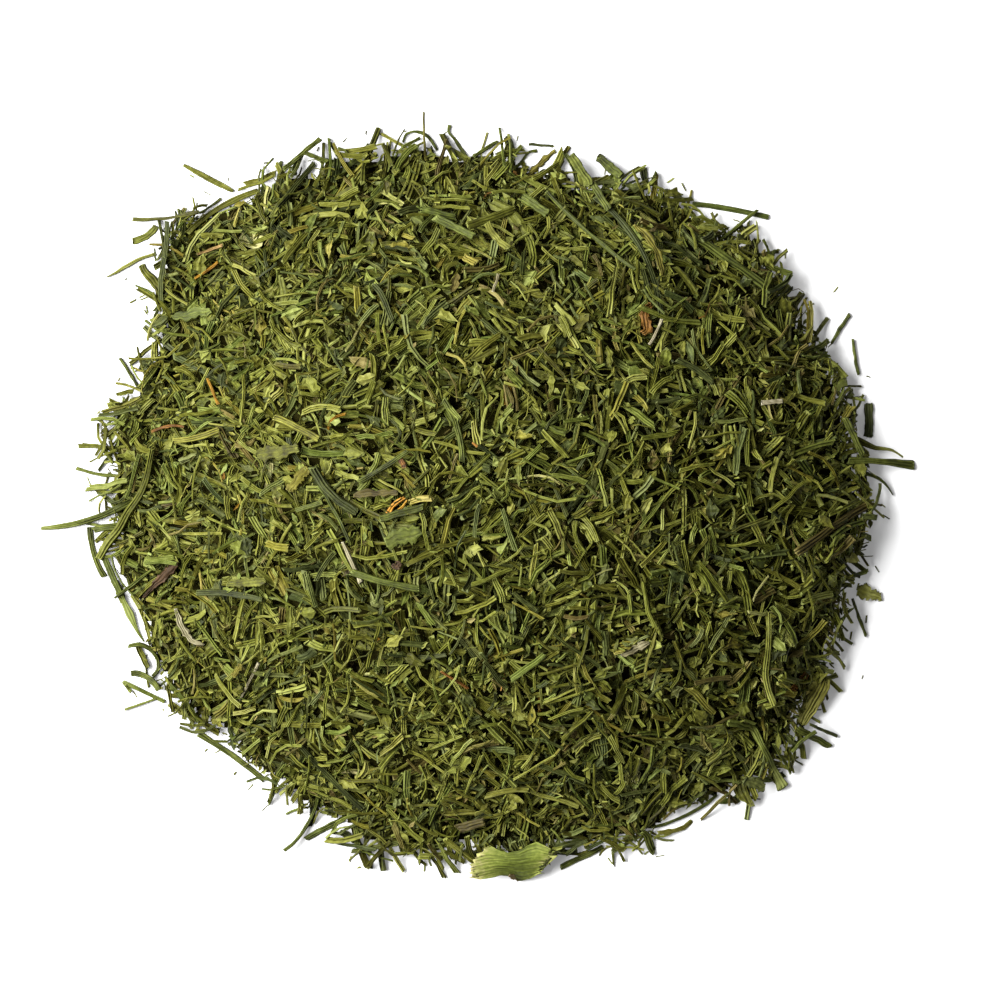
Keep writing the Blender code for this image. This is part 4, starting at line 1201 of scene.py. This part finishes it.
def loose_arrays(node, curve, style, rng):
    """A loose cutting drawn again along its CAD solid's middle line, as wide, thick and tilted as it."""
    points, triangles = node_arrays(node)
    line, walked, widest = curve
    share = np.linspace(0, 1, LOOSE_STATIONS)
    centre = points_at(share, walked, line)
    _, side = frame_along(centre)
    half_width = np.interp(share, (np.arange(WIDTH_BINS) + 0.5) / WIDTH_BINS, widest) * style["slim"]
    tree = BVHTree.FromPolygons(points.tolist(), triangles.tolist())
    probed = []
    for offset in (-TILT_PROBE, 0, TILT_PROBE):
        row = []
        for index, spot in enumerate(centre + side * (offset * half_width)[:, None]):
            heights = heights_at(tree, *spot)
            if heights:
                row.append((share[index], *heights))
        row = np.array(row)
        probed.append([np.interp(share, row[:, 0], row[:, column]) for column in (1, 2)])
    bottom, top = probed[1]
    tilt = np.median(probed[2][0] - probed[0][0]) / (2 * TILT_PROBE)
    thickness = np.median(top - bottom)
    drop = min(FLOOR_GAP, points[:, 2].min())
    shades = NODE_SHADES_AND_PAINTED_LIGHT.get(node, (LOOSE_SHADE,))
    if node in NODE_WIDTHS:
        half_width = profile_along(NODE_WIDTHS[node], share) * MM / 2
    elif style is STYLES["leaf"]:
        half_width = half_width * profile_along(LEAF_PROFILE, share)
    thickness += drop * DROP_SHARE
    return drawn_arrays(centre, half_width, bottom - drop, tilt, thickness, style, shades, rng)


def smooth_noise(rng, shape, swing, count=NOISE_KNOTS):
    """Random values of a given swing along the first axis, eased from one of a few knots to the next."""
    place = np.linspace(0, count - KNOT_MARGIN, shape[0])
    before = place.astype(int)
    ease = place - before
    ease = (ease * ease * (3 - 2 * ease)).reshape(-1, *[1] * (len(shape) - 1))
    knots = rng.normal(0, swing, (count, *shape[1:]))
    return knots[before] * (1 - ease) + knots[before + 1] * ease


def torn_edge(rng, stations, swing):
    """A factor along an edge with pointed teeth: they stand where an eased noise passes through zero."""
    noise = np.abs(smooth_noise(rng, (stations, 1), 1.0, TORN_KNOTS))
    return 1 + swing * (1 - 2 * np.minimum(noise, 1))


def surface_through(points):
    """The quadratic height over the plan that fits points best, as a function."""

    def powers(x, y):
        return np.stack((np.ones_like(x), x, y, x * x, x * y, y * y), axis=-1)

    scaled = points / MM
    factors = np.linalg.lstsq(powers(scaled[:, 0], scaled[:, 1]), points[:, 2], rcond=None)[0]
    return lambda x, y: powers(x / MM, y / MM) @ factors


def at_pixel(place):
    """The place in the plan of a point of the photo."""
    column, row = np.moveaxis(np.asarray(place, dtype=float), -1, 0)
    return np.stack(((column - PICTURE_MIDDLE[0]) * PIXEL, (PICTURE_MIDDLE[1] - row) * PIXEL), axis=-1)


def collar_arrays(rng):
    """The torn collar as a thin sheet between its lower and upper edge, over the height of its CAD solid.

    Across it is a blend of the lower edge, a middle line and the upper edge; fibres run along it as a wave
    that strays, and both ends are torn along the fibres.
    """
    along = np.linspace(0, 1, COLLAR_STATIONS)
    across = np.linspace(-1, 1, COLLAR_FIBRES)
    edges = []
    for edge in COLLAR_EDGES:
        spots = at_pixel(edge)
        edges.append(points_at(along, np.linspace(0, 1, len(spots)), spots))
    lower, middle, upper = (edge[:, None] for edge in edges)
    v = across[None, :, None]
    plan = middle * (1 - v**2) + lower * (v * (v - 1) / 2) + upper * (v * (v + 1) / 2)
    tear = rng.normal(0, COLLAR_TEAR, (2, COLLAR_FIBRES))
    plan[..., 0] += np.exp(-along * COLLAR_TEAR_FALL)[:, None] * tear[0]
    plan[..., 0] -= np.exp((along - 1) * COLLAR_TEAR_FALL)[:, None] * tear[1]
    plan[..., 1] += smooth_noise(rng, (COLLAR_STATIONS, 1), COLLAR_WAVER) * np.abs(across) ** 3
    surface = surface_through(node_arrays("stalk_collar")[0])
    stray = smooth_noise(rng, (COLLAR_STATIONS, 1), COLLAR_RIDGE_STRAY)
    fibres = 0.5 * np.cos(across * COLLAR_RIDGES + stray)
    fibres = fibres + smooth_noise(rng, (COLLAR_STATIONS, COLLAR_FIBRES), COLLAR_FIBRE_STRAY)
    height = surface(plan[..., 0], plan[..., 1]) + COLLAR_RELIEF * fibres
    height += smooth_noise(rng, (COLLAR_STATIONS, COLLAR_FIBRES), COLLAR_RELIEF / 2)
    height += COLLAR_CURL * across**4 * np.abs(2 * along[:, None] - 1)
    shell = np.concatenate((plan, height[..., None]), axis=2)
    under = shell - (0, 0, COLLAR_THICKNESS)
    points = np.concatenate((under, shell[:, ::-1]), axis=1)
    points[..., 2] = np.maximum(points[..., 2], LOWEST)
    around = np.concatenate((across, across[::-1])) * COLLAR_GRAIN_ACROSS
    onward = COLLAR_GRAIN_START + COLLAR_GRAIN_SPAN * along[:, None]
    grain = fields(points, around, onward, COLLAR_GRAIN_SEED)
    crest = np.clip(COLLAR_CREST + COLLAR_CREST_SWING * fibres, 0, 1)
    crest = np.concatenate((crest, crest[:, ::-1]), axis=1)
    tint = fields(points, profile_along(COLLAR_SHADES, along)[:, None], COLLAR_CAST, crest)
    triangles = prism_triangles(COLLAR_STATIONS, 2 * COLLAR_FIBRES)
    return points.reshape(-1, 3), triangles, grain.reshape(-1, 3), tint.reshape(-1, 3)


def feature_arrays(bed, spec, rng):
    """One cutting or scrap that stands out on top of the heap, laid on what is below it."""
    _, style_name, start, finish, width, bow = spec
    start, finish = at_pixel((start, finish))
    length = np.linalg.norm(finish - start)
    heading = math.atan2(*(finish - start)[::-1])
    x, y = (start + finish) / 2
    width *= PIXEL
    thickness = max(width * FEATURE_FLATNESS[style_name], FEATURE_LEAST)
    level, rise, _ = bed.rest(x, y, heading, length, width)
    level -= SINK * thickness
    bed.lay(x, y, heading, length, width, level + thickness, rise)
    bed.shut(x, y, heading, length * (1 - OPEN_SHARE), width)
    share = np.linspace(0, 1, LOOSE_STATIONS)
    side = np.array((-math.sin(heading), math.cos(heading)))
    aside = bow * PIXEL * 4 * share * (1 - share)
    centre = start + share[:, None] * (finish - start) + aside[:, None] * side
    half_width = np.full(LOOSE_STATIONS, width / 2)
    if style_name == "leaf":
        half_width = half_width * profile_along(LEAF_PROFILE, share)
    bottom = level + rise * (share - 0.5) * length
    shades = (rng.uniform(*FEATURE_SHADES),)
    return drawn_arrays(centre, half_width, bottom, 0.0, thickness, STYLES[style_name], shades, rng)


def make_features(bed, finishes, rng):
    """The features on top, one mesh for each tone."""
    by_tone = {}
    for spec in FEATURES:
        by_tone.setdefault(spec[0], []).append(feature_arrays(bed, spec, rng))
    for tone, parts in by_tone.items():
        make_piece("marked_" + tone, join_arrays(parts), finishes[tone], True)


def make_crumbs(finishes, rng):
    """Crumbs on the floor around the heap: a few at their own places, the rest near the rim by chance."""
    spots = at_pixel(CRUMBS)
    heading = rng.uniform(0, 2 * math.pi, CRUMB_COUNT)
    x = OUTLINE_MIDDLE[0] + CRUMB_REACH * np.cos(heading)
    y = OUTLINE_MIDDLE[1] + CRUMB_REACH * np.sin(heading)
    distance = CRUMB_REACH + outline_reach(x, y) + rng.exponential(CRUMB_FALL, CRUMB_COUNT) + CRUMB_GAP
    x = np.append(spots[:, 0], OUTLINE_MIDDLE[0] + distance * np.cos(heading))
    y = np.append(spots[:, 1], OUTLINE_MIDDLE[1] + distance * np.sin(heading))
    low, high = cad_box
    inside = (np.abs(x) < high.x - CRUMB_GAP) & (np.abs(y) < high.y - CRUMB_GAP)
    x = x[inside]
    y = y[inside]
    count = len(x)
    level = np.full(count, LOWEST)
    heading = rng.uniform(0, 2 * math.pi, count)
    length = rng.uniform(*CRUMB_LENGTH, count)
    width = rng.uniform(*CRUMB_WIDTH, count)
    depth = width * CRUMB_DEPTH
    places = np.column_stack((x, y, level, heading, np.zeros(count), length, width, depth))
    make_piece("crumbs", flake_arrays("chip", places, rng), finishes["olive"])


def slot_of(node):
    """The record's material slot of a CAD node, which its material is named for."""
    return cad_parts[node].data.materials[0].name.split(".")[0]


def make_loose(finishes, rng):
    """Every loose cutting, drawn again in place of its CAD solid."""
    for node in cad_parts:
        if node == "heap":
            continue
        slot_name = slot_of(node)
        tone = NODE_TONES.get(node) or next(tone for tone, slot in TONE_SLOTS.items() if slot == slot_name)
        style = STYLES[NODE_STYLES.get(node, "stem")]
        if node == "stalk_collar":
            arrays = collar_arrays(rng)
        elif node in FORKS:
            arrays = join_arrays([loose_arrays(node, fork_curve(*arm), style, rng) for arm in FORKS[node]])
        elif node in NODE_LINES:
            arrays = loose_arrays(node, pixel_curve(NODE_LINES[node]), style, rng)
        else:
            arrays = loose_arrays(node, curve_of(*node_arrays(node)), style, rng)
        piece = make_piece("fine_" + node, arrays, finishes[tone], True)
        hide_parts(node)


def open_cells(bed, node, shadow):
    """Which cells under a loose cutting later flakes may cover: those near its inner end."""
    rows, columns, _, _ = shadow
    if bed.target[rows, columns].max() < 2 * RIM_LAYER:
        return np.full(len(rows), False)
    line, walked, _ = curve_of(*node_arrays(node))
    x = bed.x0 + (columns + 0.5) * CELL
    y = bed.y0 + (rows + 0.5) * CELL
    share = walked[np.hypot(x[:, None] - line[:, 0], y[:, None] - line[:, 1]).argmin(axis=1)]
    return share > 1 - OPEN_SHARE


def make_heap(finishes):
    """The core of painted shade, the mass of flakes, what stands out on it, a few flakes on top, and crumbs.
    """
    rng = np.random.default_rng(SEED)
    bed = Bed()
    make_shade_core(bed)
    shadows = {node: bed.shadow(node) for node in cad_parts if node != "heap"}
    for shadow in shadows.values():
        bed.hang(shadow)
    bed.spread_support()
    kinds, places = lay_flakes(bed, rng, FLAKE_COUNT, SORTS)
    make_flakes("flakes", kinds, places, rng, finishes)
    kinds, places = lay_flakes(bed, rng, FILLER_COUNT, FILLER_SORTS, FILLER_GRIP)
    make_flakes("fillers", kinds, places, rng, finishes)
    for node, shadow in shadows.items():
        bed.cover(shadow, open_cells(bed, node, shadow))
    make_features(bed, finishes, rng)
    bed.target[bed.target > 0] += TOP_UP
    kinds, places = lay_flakes(bed, rng, TOP_UP_COUNT, SORTS)
    make_flakes("top_flakes", kinds, places, rng, finishes)
    make_crumbs(finishes, rng)


def make_floor():
    """The white surface that the heap lies on."""
    mesh = bpy.data.meshes.new("floor")
    corners = [(x * FLOOR_REACH, y * FLOOR_REACH, 0) for x, y in ((-1, -1), (1, -1), (1, 1), (-1, 1))]
    mesh.from_pydata(corners, [], [(0, 1, 2, 3)])
    nodes = Nodes("floor_white")
    nodes.fix({"Base Color": FLOOR_COLOUR, "Emission Color": WHITE, "Emission Strength": FLOOR_GLOW})
    nodes.fix({"Roughness": FLOOR_ROUGHNESS, "Specular IOR Level": FLOOR_SPECULAR})
    mesh.materials.append(nodes.material)
    item = add_object("floor", mesh)


def make_lights():
    """A large soft light from the left, and a white surrounding that fills the shadows."""
    light = bpy.data.lights.new("key_light", "AREA")
    light.shape = "SQUARE"
    light.size = KEY_SIZE
    light.energy = KEY_POWER
    item = add_object("key_light", light)
    item.location = KEY_PLACE
    item.rotation_euler = (Vector(KEY_AIM) - Vector(KEY_PLACE)).to_track_quat("-Z", "Y").to_euler()
    world = bpy.data.worlds.new("surrounding")
    world.use_nodes = True
    background = world.node_tree.nodes["Background"]
    background.inputs["Color"].default_value = WHITE
    background.inputs["Strength"].default_value = SURROUNDING_STRENGTH
    bpy.context.scene.world = world


def make_camera():
    """A camera that looks straight down, with the photo's top towards +Y."""
    camera = bpy.data.cameras.new("camera")
    camera.sensor_width = SENSOR
    camera.lens = SENSOR * CAMERA_HEIGHT / VIEW_WIDTH
    camera.clip_start = CLIP_START
    camera.clip_end = CLIP_END
    item = add_object("camera", camera)
    item.location = (*VIEW_CENTRE, CAMERA_HEIGHT)
    bpy.context.scene.camera = item
    bpy.context.scene.view_settings.view_transform = "Standard"


make_camera()
finishes = {}
for tone, tones in TONES.items():
    finishes[tone] = herb_finish("herb_" + tone, tones, GROOVE_SHADES.get(tone, GROOVE_SHADE))
make_heap(finishes)
make_loose(finishes, np.random.default_rng(SEED + 1))
make_floor()
make_lights()
